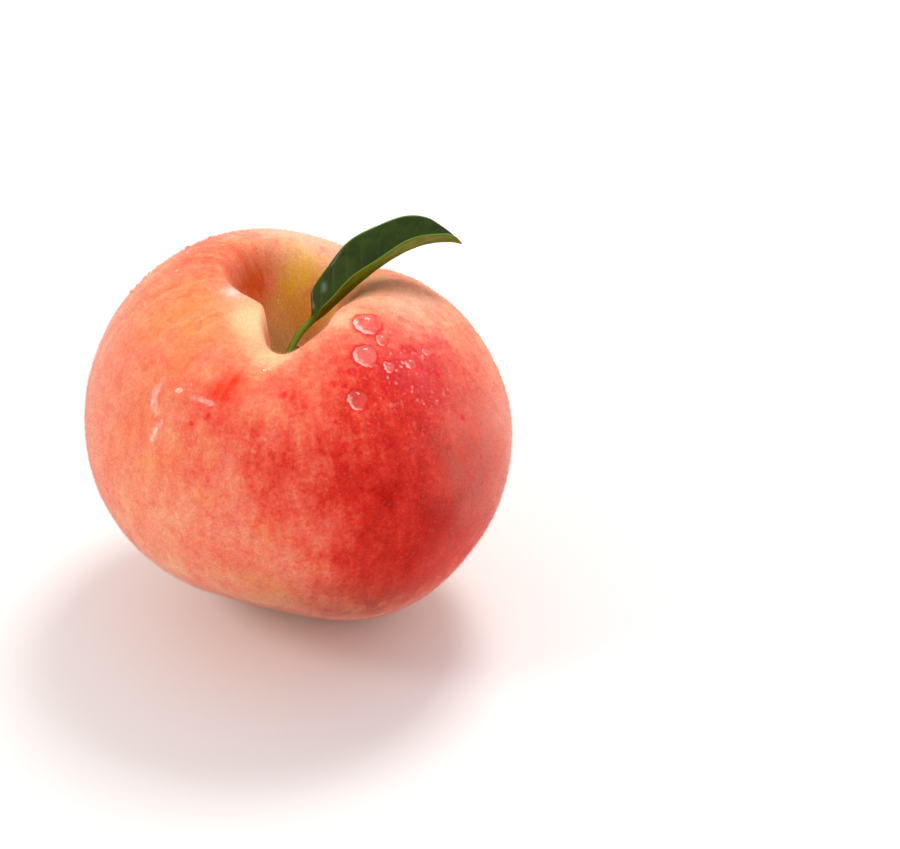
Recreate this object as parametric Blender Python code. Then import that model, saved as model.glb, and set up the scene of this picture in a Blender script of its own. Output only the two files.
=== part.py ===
"""A ripe peach with a short stub of stalk and one leaf standing in its stem cavity.

Three pieces: the fruit, the stalk stub in the floor of the cavity, and the leaf with its own leafstalk.
Lengths below are in millimetres from the middle of the fruit and are turned into metres when the
meshes are made. The fruit leans a little to the front and rests on a small flat spot at z = 0.
"""

import math

import bmesh
import bpy
import numpy as np
from mathutils import Vector

MM = 0.001

# Body of the fruit
RADIUS = 40.0
HALF_HEIGHT = 38.1
TAPER = 0.023
SHOULDER_SLACK = -0.093
SUTURE_TURN = 53.6
OUT_OF_ROUND_SIDE = -0.021
OUT_OF_ROUND_SUTURE = -0.043
OVAL = -0.024
LEAN_TO_FRONT = 7.0

# The stem end: cavity, its shallow bowl, the saddle at the front and the valley toward the suture
CAVITY_X = -1.3
CAVITY_Y = -2.0
CAVITY_DEPTH = 14.5
CAVITY_RADIUS = 9.3
CAVITY_OFFSET = 1.4
CAVITY_OFFSET_TURN = 60.0
CAVITY_STRETCH = 2.2
CAVITY_STRETCH_TURN = 80.0
CAVITY_WALL = 0.15
STEEP_WALL_TURN = 212.0
STEEP_WALL_BY = 0.09
# Where the rim of the cavity stands in or out: turn and spread in degrees, then how far out
RIM_SHIFTS = ((166.0, 33.0, 3.8), (217.0, 24.0, -3.0), (258.0, 20.0, 1.6), (345.0, 50.0, -1.4))
BOWL_DEPTH = 6.0
BOWL_LENGTH = 20.0
BOWL_WIDTH = 14.0
SADDLE_DEPTH = 3.8
SADDLE_X = -5.5
SADDLE_Y = -17.0
SADDLE_SIZE = 8.0
VALLEY_DEPTH = 4.6
VALLEY_START = 11.0
VALLEY_LENGTH = 12.0
VALLEY_WIDTH = 9.0
SHOULDER_RISE_SIDE = 4.45
SHOULDER_RISE_SUTURE = -2.0

# The suture down the back right, the tip below, a flattened side and a fuller one
GROOVE_DEPTH = 1.6
GROOVE_WIDTH = 9.0
CREASE_DEPTH = 0.8
CREASE_WIDTH = 2.0
TIP_X = 1.55
TIP_Y = -6.0
TIP_DROP = 0.8
TIP_SIZE = 9.0
FLAT_DEPTH = 5.3
FLAT_TURN = 257.1
FLAT_ANGLE = 140.4
FLAT_SPREAD = 30.0
FULL_RISE = 1.24
FULL_TURN = 299.7
FULL_ANGLE = 147.2
FULL_SPREAD = 28.0

# Where it rests
REST_X = 1.6
REST_Y = -2.2
REST_Z = -37.85

# Mesh of the fruit
COLUMNS = 80
COLUMN_CROWDING = 0.5
CAVITY_ROWS = 30
CAVITY_ROWS_END = 20.0
BODY_ROWS = 41

# The stalk stub and the socket that it stands in
STALK_RADIUS = 1.55
STALK_HEIGHT = 3.2
STALK_ROOT = 1.3
STALK_SIDES = 24
GAP = 0.3

# The leaf: leafstalk, then blade, along two curves that meet
LEAFSTALK = ((-2.7, -7.6, 16.6), (-2.6, -7.5, 19.0), (-0.9, -3.0, 20.7), (1.4, -1.5, 22.2))
MIDRIB = ((1.4, -1.5, 22.2), (8.6, 1.7, 27.5), (19.5, 5.6, 39.5), (30.4, 11.2, 32.7))
LEAFSTALK_RADIUS = 0.7
BLADE_HALF_WIDTH = 7.0
BLADE_BASE_POWER = 0.69
BLADE_TIP_POWER = 0.72
BLADE_THICKNESS = 0.7
MIDRIB_THICKNESS = 0.8
FAR_FOLD = (30.0, 54.0)
NEAR_FOLD = (48.0, 43.0)
FOLD_ROUNDING = 0.10
WAVE_HEIGHT = 0.25
WAVE_COUNT = 3.2
LEAFSTALK_STEPS = 12
BLADE_STEPS = 36
HALF_POINTS = 5


def bell(value):
    """A smooth hump, 1 in the middle."""
    return np.exp(-np.square(value))


def lean(points):
    """Turns points about the X axis, so that the stem end comes forward."""
    angle = math.radians(LEAN_TO_FRONT)
    out = np.array(points, dtype=float)
    out[..., 1] = points[..., 1] * math.cos(angle) - points[..., 2] * math.sin(angle)
    out[..., 2] = points[..., 1] * math.sin(angle) + points[..., 2] * math.cos(angle)
    return out


def settle(points):
    """Moves points from the fruit's middle to the flat spot's frame, in metres."""
    return (np.asarray(points) - np.array([REST_X, REST_Y, REST_Z])) * MM


def rim_radius(bearing):
    """Distance from the middle of the cavity to its rim, for bearings about that middle."""
    rim = CAVITY_RADIUS + CAVITY_OFFSET * np.cos(bearing - math.radians(CAVITY_OFFSET_TURN))
    rim = rim + CAVITY_STRETCH * np.cos(2 * (bearing - math.radians(CAVITY_STRETCH_TURN)))
    for turn, spread, shift in RIM_SHIFTS:
        away = np.degrees(np.angle(np.exp(1j * (bearing - math.radians(turn)))))
        rim = rim + shift * bell(away / spread)
    return rim


def skin(polar, turn):
    """Points of the fruit's surface for polar angles from the stem end and turns about the stem axis."""
    s, c = np.sin(polar), np.cos(polar)
    suture = math.radians(SUTURE_TURN)
    d = turn - suture
    out_of_round = (OUT_OF_ROUND_SIDE * np.sin(d) + OUT_OF_ROUND_SUTURE * np.cos(d)) * s
    rho = RADIUS * s * (1 + TAPER * c) * (1 + out_of_round + OVAL * np.cos(2 * d) * s)
    z = HALF_HEIGHT * c * (1 + SHOULDER_SLACK * s * s)
    stem_end, tip_end = np.clip(c, 0, 1) ** 2, np.clip(-c, 0, 1) ** 2
    x = rho * np.cos(turn) + CAVITY_X * stem_end + TIP_X * tip_end
    y = rho * np.sin(turn) + CAVITY_Y * stem_end + TIP_Y * tip_end

    u, v = x - CAVITY_X, y - CAVITY_Y
    along = u * math.cos(suture) + v * math.sin(suture)
    across = -u * math.sin(suture) + v * math.cos(suture)
    bearing = np.arctan2(v, u)
    reach = np.hypot(u, v) / rim_radius(bearing)
    width = CAVITY_WALL - STEEP_WALL_BY * np.clip(np.cos(bearing - math.radians(STEEP_WALL_TURN)), 0, 1)
    wall = (1 + np.exp(-1 / width)) / (1 + np.exp((reach - 1) / width))
    top = np.clip((c + 0.2) / 1.2, 0, 1)
    drop = BOWL_DEPTH * bell(along / BOWL_LENGTH) * bell(across / BOWL_WIDTH)
    drop += CAVITY_DEPTH * wall
    drop += SADDLE_DEPTH * bell((x - SADDLE_X) / SADDLE_SIZE) * bell((y - SADDLE_Y) / SADDLE_SIZE)
    drop += VALLEY_DEPTH * bell((along - VALLEY_START) / VALLEY_LENGTH) * bell(across / VALLEY_WIDTH)
    z = z - top * drop
    rise = SHOULDER_RISE_SIDE * np.sin(d) + SHOULDER_RISE_SUTURE * np.cos(d)
    z = z + rise * (rho / RADIUS) * top**2
    z = z - np.clip((-c - 0.2) / 0.8, 0, 1) * TIP_DROP * bell(rho / TIP_SIZE)

    side = rho * np.sin(d)
    depth = GROOVE_DEPTH * bell(side / GROOVE_WIDTH) + CREASE_DEPTH * bell(side / CREASE_WIDTH)
    depth = depth * np.sqrt(np.clip(np.cos(d), 0, 1)) * np.clip(rho / 8.0, 0, 1)
    depth = depth + FLAT_DEPTH * patch(s, c, turn, FLAT_TURN, FLAT_ANGLE, FLAT_SPREAD)
    depth = depth - FULL_RISE * patch(s, c, turn, FULL_TURN, FULL_ANGLE, FULL_SPREAD)
    x = x - depth * s * np.cos(turn)
    y = y - depth * s * np.sin(turn)
    return np.stack([x, y, z - depth * c], axis=-1)


def patch(s, c, turn, patch_turn, patch_angle, spread):
    """A smooth round patch of the surface, 1 in its middle."""
    angle = math.radians(patch_angle)
    nearness = s * math.sin(angle) * np.cos(turn - math.radians(patch_turn)) + c * math.cos(angle)
    return bell(np.degrees(np.arccos(np.clip(nearness, -1, 1))) / spread)


def cavity_floor():
    """The lowest point of the cavity, before the lean."""
    return skin(np.array(0.0), np.array(0.0))


def finish_mesh(mesh, name, material, sharp_degrees=180.0):
    """Turns a bmesh into a smooth-shaded object with one material."""
    bmesh.ops.remove_doubles(mesh, verts=mesh.verts, dist=0.000002)
    bmesh.ops.recalc_face_normals(mesh, faces=mesh.faces)
    for face in mesh.faces:
        face.smooth = True
    for edge in mesh.edges:
        if edge.is_manifold and edge.calc_face_angle() > math.radians(sharp_degrees):
            edge.smooth = False
    data = bpy.data.meshes.new(name)
    mesh.to_mesh(data)
    mesh.free()
    data.materials.append(material)
    piece = bpy.data.objects.new(name, data)
    bpy.context.collection.objects.link(piece)
    return piece


def plain_material(name, colour, roughness):
    """One Principled material."""
    material = bpy.data.materials.new(name)
    material.use_nodes = True
    shader = material.node_tree.nodes["Principled BSDF"]
    shader.inputs["Base Color"].default_value = (*colour, 1.0)
    shader.inputs["Roughness"].default_value = roughness
    shader.inputs["Metallic"].default_value = 0.0
    return material


def skin_material():
    """Downy skin, rosy coral."""
    return plain_material("peach_skin", (0.80, 0.22, 0.13), 0.62)


def bark_material():
    """Dark brown wood of the stub."""
    return plain_material("stalk_bark", (0.085, 0.045, 0.022), 0.8)


def leaf_material():
    """Dark glossy green leaf."""
    return plain_material("leaf_green", (0.035, 0.105, 0.022), 0.38)


def add_rings(mesh, rings):
    """Joins rings of equally many points into an open tube and returns its vertices by ring."""
    rows = [[mesh.verts.new(Vector(point)) for point in ring] for ring in rings]
    count = len(rows[0])
    for first, second in zip(rows, rows[1:]):
        for i in range(count):
            j = (i + 1) % count
            mesh.faces.new((first[i], first[j], second[j], second[i]))
    return rows


def close_with_point(mesh, ring, point):
    """Closes a ring with a fan around one point."""
    middle = mesh.verts.new(Vector(point))
    for i, vertex in enumerate(ring):
        mesh.faces.new((vertex, ring[(i + 1) % len(ring)], middle))


def fruit_turns():
    """Turns of the columns, closer together at the suture."""
    even = np.linspace(0.0, 2 * math.pi, COLUMNS, endpoint=False)
    return math.radians(SUTURE_TURN) + even - COLUMN_CROWDING * np.sin(even)


def fruit_polar_angles():
    """Polar angles of the rows, closer together in the cavity."""
    first = (STALK_RADIUS + GAP) / RADIUS
    bend = math.asin(CAVITY_ROWS_END / RADIUS)
    inner = np.linspace(first, bend, CAVITY_ROWS)
    outer = np.linspace(bend, math.pi, BODY_ROWS + 1)[1:-1]
    return np.concatenate([inner, outer])


def along_the_rim(polar, turns):
    """Polar angles of one row, moved in or out so that the rows run along the cavity's rim."""
    radius = RADIUS * math.sin(polar)
    if polar > math.asin(CAVITY_ROWS_END / RADIUS):
        return np.full(COLUMNS, polar)
    first, full, last = STALK_RADIUS + GAP, 0.65 * CAVITY_RADIUS, CAVITY_ROWS_END
    rise = np.clip((radius - first) / (full - first), 0, 1)
    fall = np.clip((last - radius) / (last - 1.15 * CAVITY_RADIUS), 0, 1)
    share = rise * rise * (3 - 2 * rise) * fall * fall * (3 - 2 * fall)
    moved = radius * (1 + share * (rim_radius(turns) / CAVITY_RADIUS - 1))
    return np.arcsin(moved / RADIUS)


def build_fruit():
    """The fruit, with a plain round socket for the stub in the cavity's floor."""
    turns = fruit_turns()
    rings = []
    floor = cavity_floor()
    socket_depth = STALK_ROOT + GAP
    top_ring = skin(np.full(COLUMNS, fruit_polar_angles()[0]), turns)
    socket_ring = top_ring.copy()
    socket_ring[:, 2] = floor[2] - socket_depth
    rings.append(socket_ring)
    for polar in fruit_polar_angles():
        rings.append(skin(along_the_rim(polar, turns), turns))
    mesh = bmesh.new()
    rows = add_rings(mesh, [settle(lean(ring)) for ring in rings])
    socket_middle = np.array([CAVITY_X, CAVITY_Y, floor[2] - socket_depth])
    close_with_point(mesh, rows[0], settle(lean(socket_middle)))
    close_with_point(mesh, rows[-1], settle(lean(skin(np.array(math.pi), np.array(0.0)))))
    everything = mesh.verts[:] + mesh.edges[:] + mesh.faces[:]
    cut = bmesh.ops.bisect_plane(
        mesh, geom=everything, dist=0.000001, plane_co=(0, 0, 0), plane_no=(0, 0, -1), clear_outer=True
    )
    rim = [part for part in cut["geom_cut"] if isinstance(part, bmesh.types.BMEdge)]
    bmesh.ops.contextual_create(mesh, geom=rim)
    for edge in rim:
        edge.smooth = False
    return finish_mesh(mesh, "fruit", skin_material(), 50.0)


def build_stalk():
    """The stub: a short woody peg, a little wider at the foot and at its worn top."""
    floor = cavity_floor()
    heights = (-STALK_ROOT, -0.4, 0.3, 1.1, 2.1, STALK_HEIGHT - 0.3, STALK_HEIGHT)
    widths = (0.94, 1.0, 0.97, 0.86, 0.84, 0.93, 0.8)
    around = np.linspace(0.0, 2 * math.pi, STALK_SIDES, endpoint=False)
    rings = []
    for level, (height, width) in enumerate(zip(heights, widths)):
        ridges = 1 - 0.05 * (0.5 + 0.5 * np.cos(5 * around + 0.7 * level))
        radius = STALK_RADIUS * width * ridges
        tilt = 0.10 * radius * np.cos(around - 0.6) * (level >= 5)
        ring = np.stack([radius * np.cos(around), radius * np.sin(around), height + tilt], axis=-1)
        rings.append(ring + np.array([CAVITY_X, CAVITY_Y, floor[2]]))
    mesh = bmesh.new()
    rows = add_rings(mesh, [settle(lean(ring)) for ring in rings])
    foot = np.array([CAVITY_X, CAVITY_Y, floor[2] - STALK_ROOT])
    top = np.array([CAVITY_X, CAVITY_Y, floor[2] + STALK_HEIGHT - 0.2])
    close_with_point(mesh, rows[0], settle(lean(foot)))
    close_with_point(mesh, rows[-1], settle(lean(top)))
    return finish_mesh(mesh, "stalk", bark_material(), 50.0)


def curve_point(controls, t):
    """A point of the curve with four control points."""
    p = np.array(controls)
    return (1 - t) ** 3 * p[0] + 3 * (1 - t) ** 2 * t * p[1] + 3 * (1 - t) * t**2 * p[2] + t**3 * p[3]


def curve_direction(controls, t):
    """Unit direction of the curve."""
    p = np.array(controls)
    slope = (1 - t) ** 2 * (p[1] - p[0]) + 2 * (1 - t) * t * (p[2] - p[1]) + t**2 * (p[3] - p[2])
    return slope / np.linalg.norm(slope)


def blade_half_width(t):
    """Half width of the blade at a share of its length."""
    peak = BLADE_BASE_POWER / (BLADE_BASE_POWER + BLADE_TIP_POWER)
    most = peak**BLADE_BASE_POWER * (1 - peak) ** BLADE_TIP_POWER
    return BLADE_HALF_WIDTH * t**BLADE_BASE_POWER * (1 - t) ** BLADE_TIP_POWER / most


def blade_section(t):
    """Outline of the folded blade across its length: side and height of the top, then of the underside."""
    shares = np.linspace(-1.0, 1.0, 2 * HALF_POINTS + 1)
    shares = np.sign(shares) * np.abs(shares) ** 1.15
    width = max(blade_half_width(t), 0.45)
    far = math.radians(FAR_FOLD[0] + (FAR_FOLD[1] - FAR_FOLD[0]) * t)
    near = math.radians(NEAR_FOLD[0] + (NEAR_FOLD[1] - NEAR_FOLD[0]) * t)
    fold = np.where(shares < 0, far, near)
    lift = (np.sqrt(shares**2 + FOLD_ROUNDING**2) - FOLD_ROUNDING) * np.sin(fold)
    wave = WAVE_HEIGHT * shares**2 * np.sin(2 * math.pi * WAVE_COUNT * t + 1.1 * np.sign(shares))
    side = width * shares * np.cos(fold)
    height = width * lift + wave * min(1.0, 4 * t, 6 * (1 - t))
    run, climb = np.gradient(side), np.gradient(height)
    size = np.hypot(run, climb)
    normal_side, normal_height = -climb / size, run / size
    half = 0.5 * BLADE_THICKNESS
    rib = MIDRIB_THICKNESS * (1 - 0.75 * t) * bell(shares / 0.16)
    top = np.stack([side + half * normal_side, height + half * normal_height], axis=-1)
    under = np.stack([side - (half + rib) * normal_side, height - (half + rib) * normal_height], axis=-1)
    return np.concatenate([top, under[::-1]])


def leafstalk_section():
    """A round outline with as many points as the blade's."""
    count = 2 * HALF_POINTS + 1
    top = np.linspace(math.pi * 0.97, math.pi * 0.03, count)
    under = np.linspace(-math.pi * 0.03, -math.pi * 0.97, count)
    angles = np.concatenate([top, under])
    return LEAFSTALK_RADIUS * np.stack([np.cos(angles), np.sin(angles)], axis=-1)


def leaf_ring(controls, t, section):
    """Places a section across the curve."""
    forward = curve_direction(controls, t)
    side = np.cross(forward, (0.0, 0.0, 1.0))
    side = side / np.linalg.norm(side)
    rise = np.cross(side, forward)
    middle = curve_point(controls, t)
    return middle + section[:, :1] * side + section[:, 1:] * rise


def leaf_rings():
    """All outlines of the leaf from the leafstalk's foot to the tip."""
    rings = []
    for t in np.linspace(0.0, 1.0, LEAFSTALK_STEPS, endpoint=False):
        foot = 1.0 + 0.25 * bell(t / 0.18)
        rings.append(leaf_ring(LEAFSTALK, t, leafstalk_section() * foot))
    for t in np.linspace(0.0, 0.995, BLADE_STEPS):
        spread = min(1.0, t / 0.14)
        spread = spread * spread * (3 - 2 * spread)
        section = (1 - spread) * leafstalk_section() + spread * blade_section(t)
        rings.append(leaf_ring(MIDRIB, t, section))
    return rings


def build_leaf():
    """The leaf: one closed body, both faces split into triangles the same way."""
    mesh = bmesh.new()
    rings = leaf_rings()
    rows = [[mesh.verts.new(Vector(point)) for point in settle(ring)] for ring in rings]
    count = len(rows[0])
    half = count // 2
    for first, second in zip(rows, rows[1:]):
        for i in range(count):
            j = (i + 1) % count
            if i < half:
                mesh.faces.new((first[i], first[j], second[j]))
                mesh.faces.new((first[i], second[j], second[i]))
            else:
                mesh.faces.new((first[i], first[j], second[i]))
                mesh.faces.new((first[j], second[j], second[i]))
    close_with_point(mesh, rows[0], settle(rings[0].mean(axis=0)))
    close_with_point(mesh, rows[-1], settle(rings[-1].mean(axis=0)))
    return finish_mesh(mesh, "leaf", leaf_material(), 60.0)


def main():
    """Builds the three pieces."""
    for old in list(bpy.data.objects):
        bpy.data.objects.remove(old, do_unlink=True)
    build_fruit()
    build_stalk()
    build_leaf()


main()
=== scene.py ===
"""Dresses the peach: downy skin, the stub of stalk, the folded leaf and the drops of water on the skin.

Places and sizes of the fruit's details are in millimetres, and every mesh is in metres.
The frame is the part's own: +Z up, the flat spot under the fruit at z = 0.
"""

import logging
import math
from contextlib import contextmanager
from dataclasses import dataclass, field
from enum import Enum
from typing import Iterator, Optional, Union

import bpy
import numpy as np
from mathutils import Matrix, Vector
from mathutils.bvhtree import BVHTree


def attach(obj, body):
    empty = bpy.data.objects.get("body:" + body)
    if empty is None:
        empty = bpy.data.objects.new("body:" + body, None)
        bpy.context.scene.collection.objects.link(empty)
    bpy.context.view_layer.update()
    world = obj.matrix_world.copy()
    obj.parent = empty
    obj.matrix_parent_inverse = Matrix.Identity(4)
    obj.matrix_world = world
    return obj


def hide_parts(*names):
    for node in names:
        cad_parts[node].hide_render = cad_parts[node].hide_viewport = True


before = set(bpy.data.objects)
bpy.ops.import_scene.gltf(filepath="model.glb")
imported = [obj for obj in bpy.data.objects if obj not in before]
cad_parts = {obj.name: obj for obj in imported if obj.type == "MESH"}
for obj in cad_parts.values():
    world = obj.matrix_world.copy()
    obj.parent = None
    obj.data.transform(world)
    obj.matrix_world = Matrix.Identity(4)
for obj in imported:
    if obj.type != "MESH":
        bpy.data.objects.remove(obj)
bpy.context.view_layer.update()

log = logging.getLogger("peach")

Triple = tuple[float, float, float]
Socket = bpy.types.NodeSocket
Value = Union[Socket, float, tuple]

MM = 0.001
MM_IN_A_METRE = 1000.0
# Middle of the fruit, and how far its axis leans back from the upright
FRUIT_MIDDLE: Triple = (-1.6, 2.2, 37.85)
LEAN_DEGREES = 7.0
# Middle of the stem cavity, and the foot of the stub in its floor
CAVITY_MIDDLE: Triple = (-2.9, -5.5, 62.0)
STUB_FOOT: Triple = (-2.9, -1.8, 52.0)
# Name of the skin's own attribute: 1 at the foot of a fine drop, 0 away from it
WET_ATTRIBUTE = "wet"
# The leaf's map: the share of its length that the leafstalk takes, and the pairs of side veins
LEAFSTALK_SHARE = 0.16
VEIN_PAIRS = 12.0
# Patches of colour at least this wide, in millimetres, have an edge that wanders far
BROAD_REACH = 7.0
# Width of the camera's sensor, in millimetres
SENSOR_MM = 36.0


class Noise(Enum):
    """Fixed starting numbers, so that every run gives the same peach."""

    DOWN = 11
    DROPS = 23


class Group(Enum):
    """Names of the shader node groups."""

    SKIN = "skin_colour"
    DOWN = "down_colour"


def bell(value: np.ndarray) -> np.ndarray:
    """Returns a smooth hump, 1 where the value is 0."""
    return np.exp(-np.square(value))


def smooth_step(low: float, high: float, value: np.ndarray) -> np.ndarray:
    """Returns 0 below low, 1 above high and a smooth rise between.

    Args:
        low: Where the rise starts.
        high: Where the rise ends.
        value: The numbers to look up.

    Returns:
        One number from 0 to 1 for each.
    """
    share = np.clip((value - low) / (high - low), 0.0, 1.0)
    return share * share * (3.0 - 2.0 * share)


# Handling of objects


def take(piece: bpy.types.Object) -> None:
    """Deselects everything, then selects one piece and makes it active.

    Args:
        piece: The piece to work on.
    """
    bpy.ops.object.select_all(action="DESELECT")
    piece.hide_set(False)
    piece.select_set(True)
    bpy.context.view_layer.objects.active = piece


@contextmanager
def edit_mode(piece: bpy.types.Object) -> Iterator[None]:
    """Opens a piece in edit mode with all of it selected, and leaves edit mode afterwards.

    Args:
        piece: The piece to edit.

    Yields:
        Nothing.
    """
    take(piece)
    bpy.ops.object.mode_set(mode="EDIT")
    bpy.ops.mesh.select_all(action="SELECT")
    yield
    bpy.ops.object.mode_set(mode="OBJECT")


def apply_modifier(piece: bpy.types.Object, kind: str, **settings: object) -> None:
    """Adds a modifier to a piece and applies it.

    Args:
        piece: The piece to finish.
        kind: Blender's name of the modifier type.
        **settings: Values set on the modifier before it is applied.
    """
    take(piece)
    bpy.ops.object.modifier_add(type=kind)
    modifier = piece.modifiers[-1]
    for key, value in settings.items():
        setattr(modifier, key, value)
    bpy.ops.object.modifier_apply(modifier=modifier.name)


def displace(
    piece: bpy.types.Object, name: str, size: float, layers: int, depth_mm: float, **settings: object
) -> None:
    """Pushes a piece's surface in and out by clouds.

    Args:
        piece: The piece to finish.
        name: Name of the clouds.
        size: Size of a cloud, in metres.
        layers: How many finer layers the clouds have.
        depth_mm: From the deepest to the highest point, in millimetres.
        **settings: More values of the modifier.
    """
    texture = bpy.data.textures.new(name, "CLOUDS")
    texture.noise_scale = size
    texture.noise_depth = layers
    apply_modifier(piece, "DISPLACE", texture=texture, strength=depth_mm * MM, **settings)


def places_of(piece: bpy.types.Object) -> np.ndarray:
    """Reads where a piece's vertices are.

    Args:
        piece: The mesh object.

    Returns:
        One row for each vertex, in metres.
    """
    flat = np.empty(len(piece.data.vertices) * 3)
    piece.data.vertices.foreach_get("co", flat)
    return flat.reshape(-1, 3)


def set_places(piece: bpy.types.Object, places: np.ndarray) -> None:
    """Moves the piece's vertices to the given places, in metres."""
    piece.data.vertices.foreach_set("co", np.ascontiguousarray(places, dtype=np.float64).ravel())
    piece.data.update()


def rename(piece: bpy.types.Object, name: str) -> bpy.types.Object:
    """Names a piece and its mesh, and returns the piece."""
    piece.name = piece.data.name = name
    return piece


def linked(name: str, data: bpy.types.Mesh) -> bpy.types.Object:
    """Puts a mesh into the scene.

    Args:
        name: Name of the object.
        data: The mesh.

    Returns:
        The new object.
    """
    piece = bpy.data.objects.new(name, data)
    bpy.context.scene.collection.objects.link(piece)
    return piece


def finish_piece(piece: bpy.types.Object, material: bpy.types.Material) -> None:
    """Gives a piece its material, smooth shading and its body.

    Args:
        piece: The finished mesh object.
        material: What it is made of.
    """
    piece.data.materials.clear()
    piece.data.materials.append(material)
    take(piece)
    bpy.ops.object.shade_smooth()
    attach(piece, "root")
    log.info("%s: %d faces", piece.name, len(piece.data.polygons))


def copy_of_node(node: str, name: str) -> bpy.types.Object:
    """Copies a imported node's mesh to a new object and welds its loose triangles.

    Args:
        node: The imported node's name.
        name: Name of the copy.

    Returns:
        The welded copy, made of quads where pairs of triangles allow it.
    """
    piece = linked(name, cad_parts[node].data.copy())
    with edit_mode(piece):
        bpy.ops.mesh.remove_doubles(threshold=0.002 * MM)
        bpy.ops.mesh.tris_convert_to_quads(face_threshold=0.9, shape_threshold=0.9)
        bpy.ops.mesh.normals_make_consistent(inside=False)
    bpy.ops.mesh.customdata_custom_splitnormals_clear()
    return piece


# Handling of shader nodes


def set_values(node: bpy.types.Node, values: dict[str, object]) -> None:
    """Sets plain values on a node's inputs, by the inputs' names."""
    for key, value in values.items():
        node.inputs[key].default_value = value


class Board:
    """A node tree with short ways to add nodes and join them."""

    def __init__(self, tree: bpy.types.NodeTree) -> None:
        """Keeps the tree that the nodes go on."""
        self.tree = tree

    def node(self, kind: str, *values: Value, **settings: object) -> bpy.types.Node:
        """Adds a node.

        Args:
            kind: Blender's name of the node type.
            *values: What goes into its inputs, in their order.
            **settings: Its options.

        Returns:
            The node.
        """
        made = self.tree.nodes.new(kind)
        for key, option in settings.items():
            setattr(made, key, option)
        for socket, value in zip(made.inputs, values):
            self.feed(socket, value)
        return made

    def feed(self, socket: Socket, value: Value) -> None:
        """Joins a socket to another one, or sets its plain value.

        Args:
            socket: The input.
            value: The output that it is joined to, or a number, colour or vector.
        """
        if isinstance(value, Socket):
            self.tree.links.new(value, socket)
        elif socket.type == "RGBA" and isinstance(value, tuple) and len(value) == 3:
            socket.default_value = (*value, 1.0)
        else:
            socket.default_value = value

    def feed_all(self, node: bpy.types.Node, values: dict[str, Value]) -> None:
        """Feeds several inputs of a node, by their names."""
        for key, value in values.items():
            self.feed(node.inputs[key], value)

    def place(self) -> Socket:
        """Returns the place on the part, in millimetres."""
        return self.scaled(self.node("ShaderNodeTexCoord").outputs["Object"], MM_IN_A_METRE)

    def math(self, operation: str, a: Value, b: Value = 0.0, c: Value = 0.0) -> Socket:
        """Returns the result of a sum on plain numbers."""
        return self.node("ShaderNodeMath", a, b, c, operation=operation).outputs[0]

    def times(self, a: Value, b: Value) -> Socket:
        """Returns the product of two plain numbers."""
        return self.math("MULTIPLY", a, b)

    def vector(self, operation: str, a: Value, b: Value = (0.0, 0.0, 0.0)) -> Socket:
        """Returns the result of a sum on vectors: a number for a length, a distance or a dot product."""
        made = self.node("ShaderNodeVectorMath", a, b, operation=operation)
        return made.outputs["Value" if operation in ("DISTANCE", "LENGTH", "DOT_PRODUCT") else "Vector"]

    def scaled(self, a: Value, scale: Value) -> Socket:
        """Returns a vector times a number.

        Args:
            a: The vector.
            scale: The number.

        Returns:
            The longer or shorter vector.
        """
        made = self.node("ShaderNodeVectorMath", a, operation="SCALE")
        self.feed(made.inputs["Scale"], scale)
        return made.outputs["Vector"]

    def apart(self, place: Value, spot: Value, reach: Value) -> Socket:
        """Returns how far a place is from a spot, as a share of a reach."""
        return self.math("DIVIDE", self.vector("DISTANCE", place, spot), reach)

    def blend(self, share: Value, a: Value, b: Value) -> Socket:
        """Returns a blend of two colours.

        Args:
            share: How much of b, from 0 to 1.
            a: First colour.
            b: Second colour.

        Returns:
            The blended colour.
        """
        made = self.node("ShaderNodeMix", share, data_type="RGBA")
        self.feed(made.inputs[6], a)
        self.feed(made.inputs[7], b)
        return made.outputs[2]

    def between(self, share: Value, a: Value, b: Value) -> Socket:
        """Returns a blend of two plain numbers.

        Args:
            share: How much of b, from 0 to 1.
            a: First number.
            b: Second number.

        Returns:
            The number between them.
        """
        made = self.node("ShaderNodeMix", share, data_type="FLOAT")
        self.feed(made.inputs[2], a)
        self.feed(made.inputs[3], b)
        return made.outputs[0]

    def rise(self, value: Value, low: float, high: float, start: Value = 0.0, end: Value = 1.0) -> Socket:
        """Returns a smooth rise from start to end while the value goes from low to high."""
        ends = (value, low, high, start, end)
        return self.node("ShaderNodeMapRange", *ends, interpolation_type="SMOOTHSTEP").outputs[0]

    def hump(self, place: Value, middle: Triple, reach: float, strength: float) -> Socket:
        """Returns a soft round mask about a spot on the part.

        Args:
            place: Where the mask is asked for.
            middle: The spot, in millimetres.
            reach: How far the mask spreads, in millimetres.
            strength: The mask in its middle.

        Returns:
            The mask.
        """
        away = self.apart(place, middle, reach)
        return self.times(self.math("EXPONENT", self.times(self.times(away, away), -1.0)), strength)

    def noise(self, place: Value, size: float, detail: float = 2.0, rough: float = 0.5) -> bpy.types.Node:
        """Adds cloudy noise.

        Args:
            place: Where the noise is asked for.
            size: Rough size of its blotches, in the units of place.
            detail: How many finer layers it has.
            rough: How strong they are.

        Returns:
            The node.
        """
        made = self.node("ShaderNodeTexNoise", place)
        set_values(made, {"Scale": 1.0 / size, "Detail": detail, "Roughness": rough})
        return made

    def cloud(self, place: Value, size: float, detail: float = 2.0, rough: float = 0.5) -> Socket:
        """Returns one number of cloudy noise, from 0 to 1."""
        return self.noise(place, size, detail, rough).outputs["Fac"]

    def drift(self, place: Value, size: float, detail: float, reach: float) -> Socket:
        """Returns a cloudy shift to any side, over reach in all."""
        shift = self.vector("SUBTRACT", self.noise(place, size, detail).outputs["Color"], (0.5, 0.5, 0.5))
        return self.scaled(shift, reach)

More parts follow.
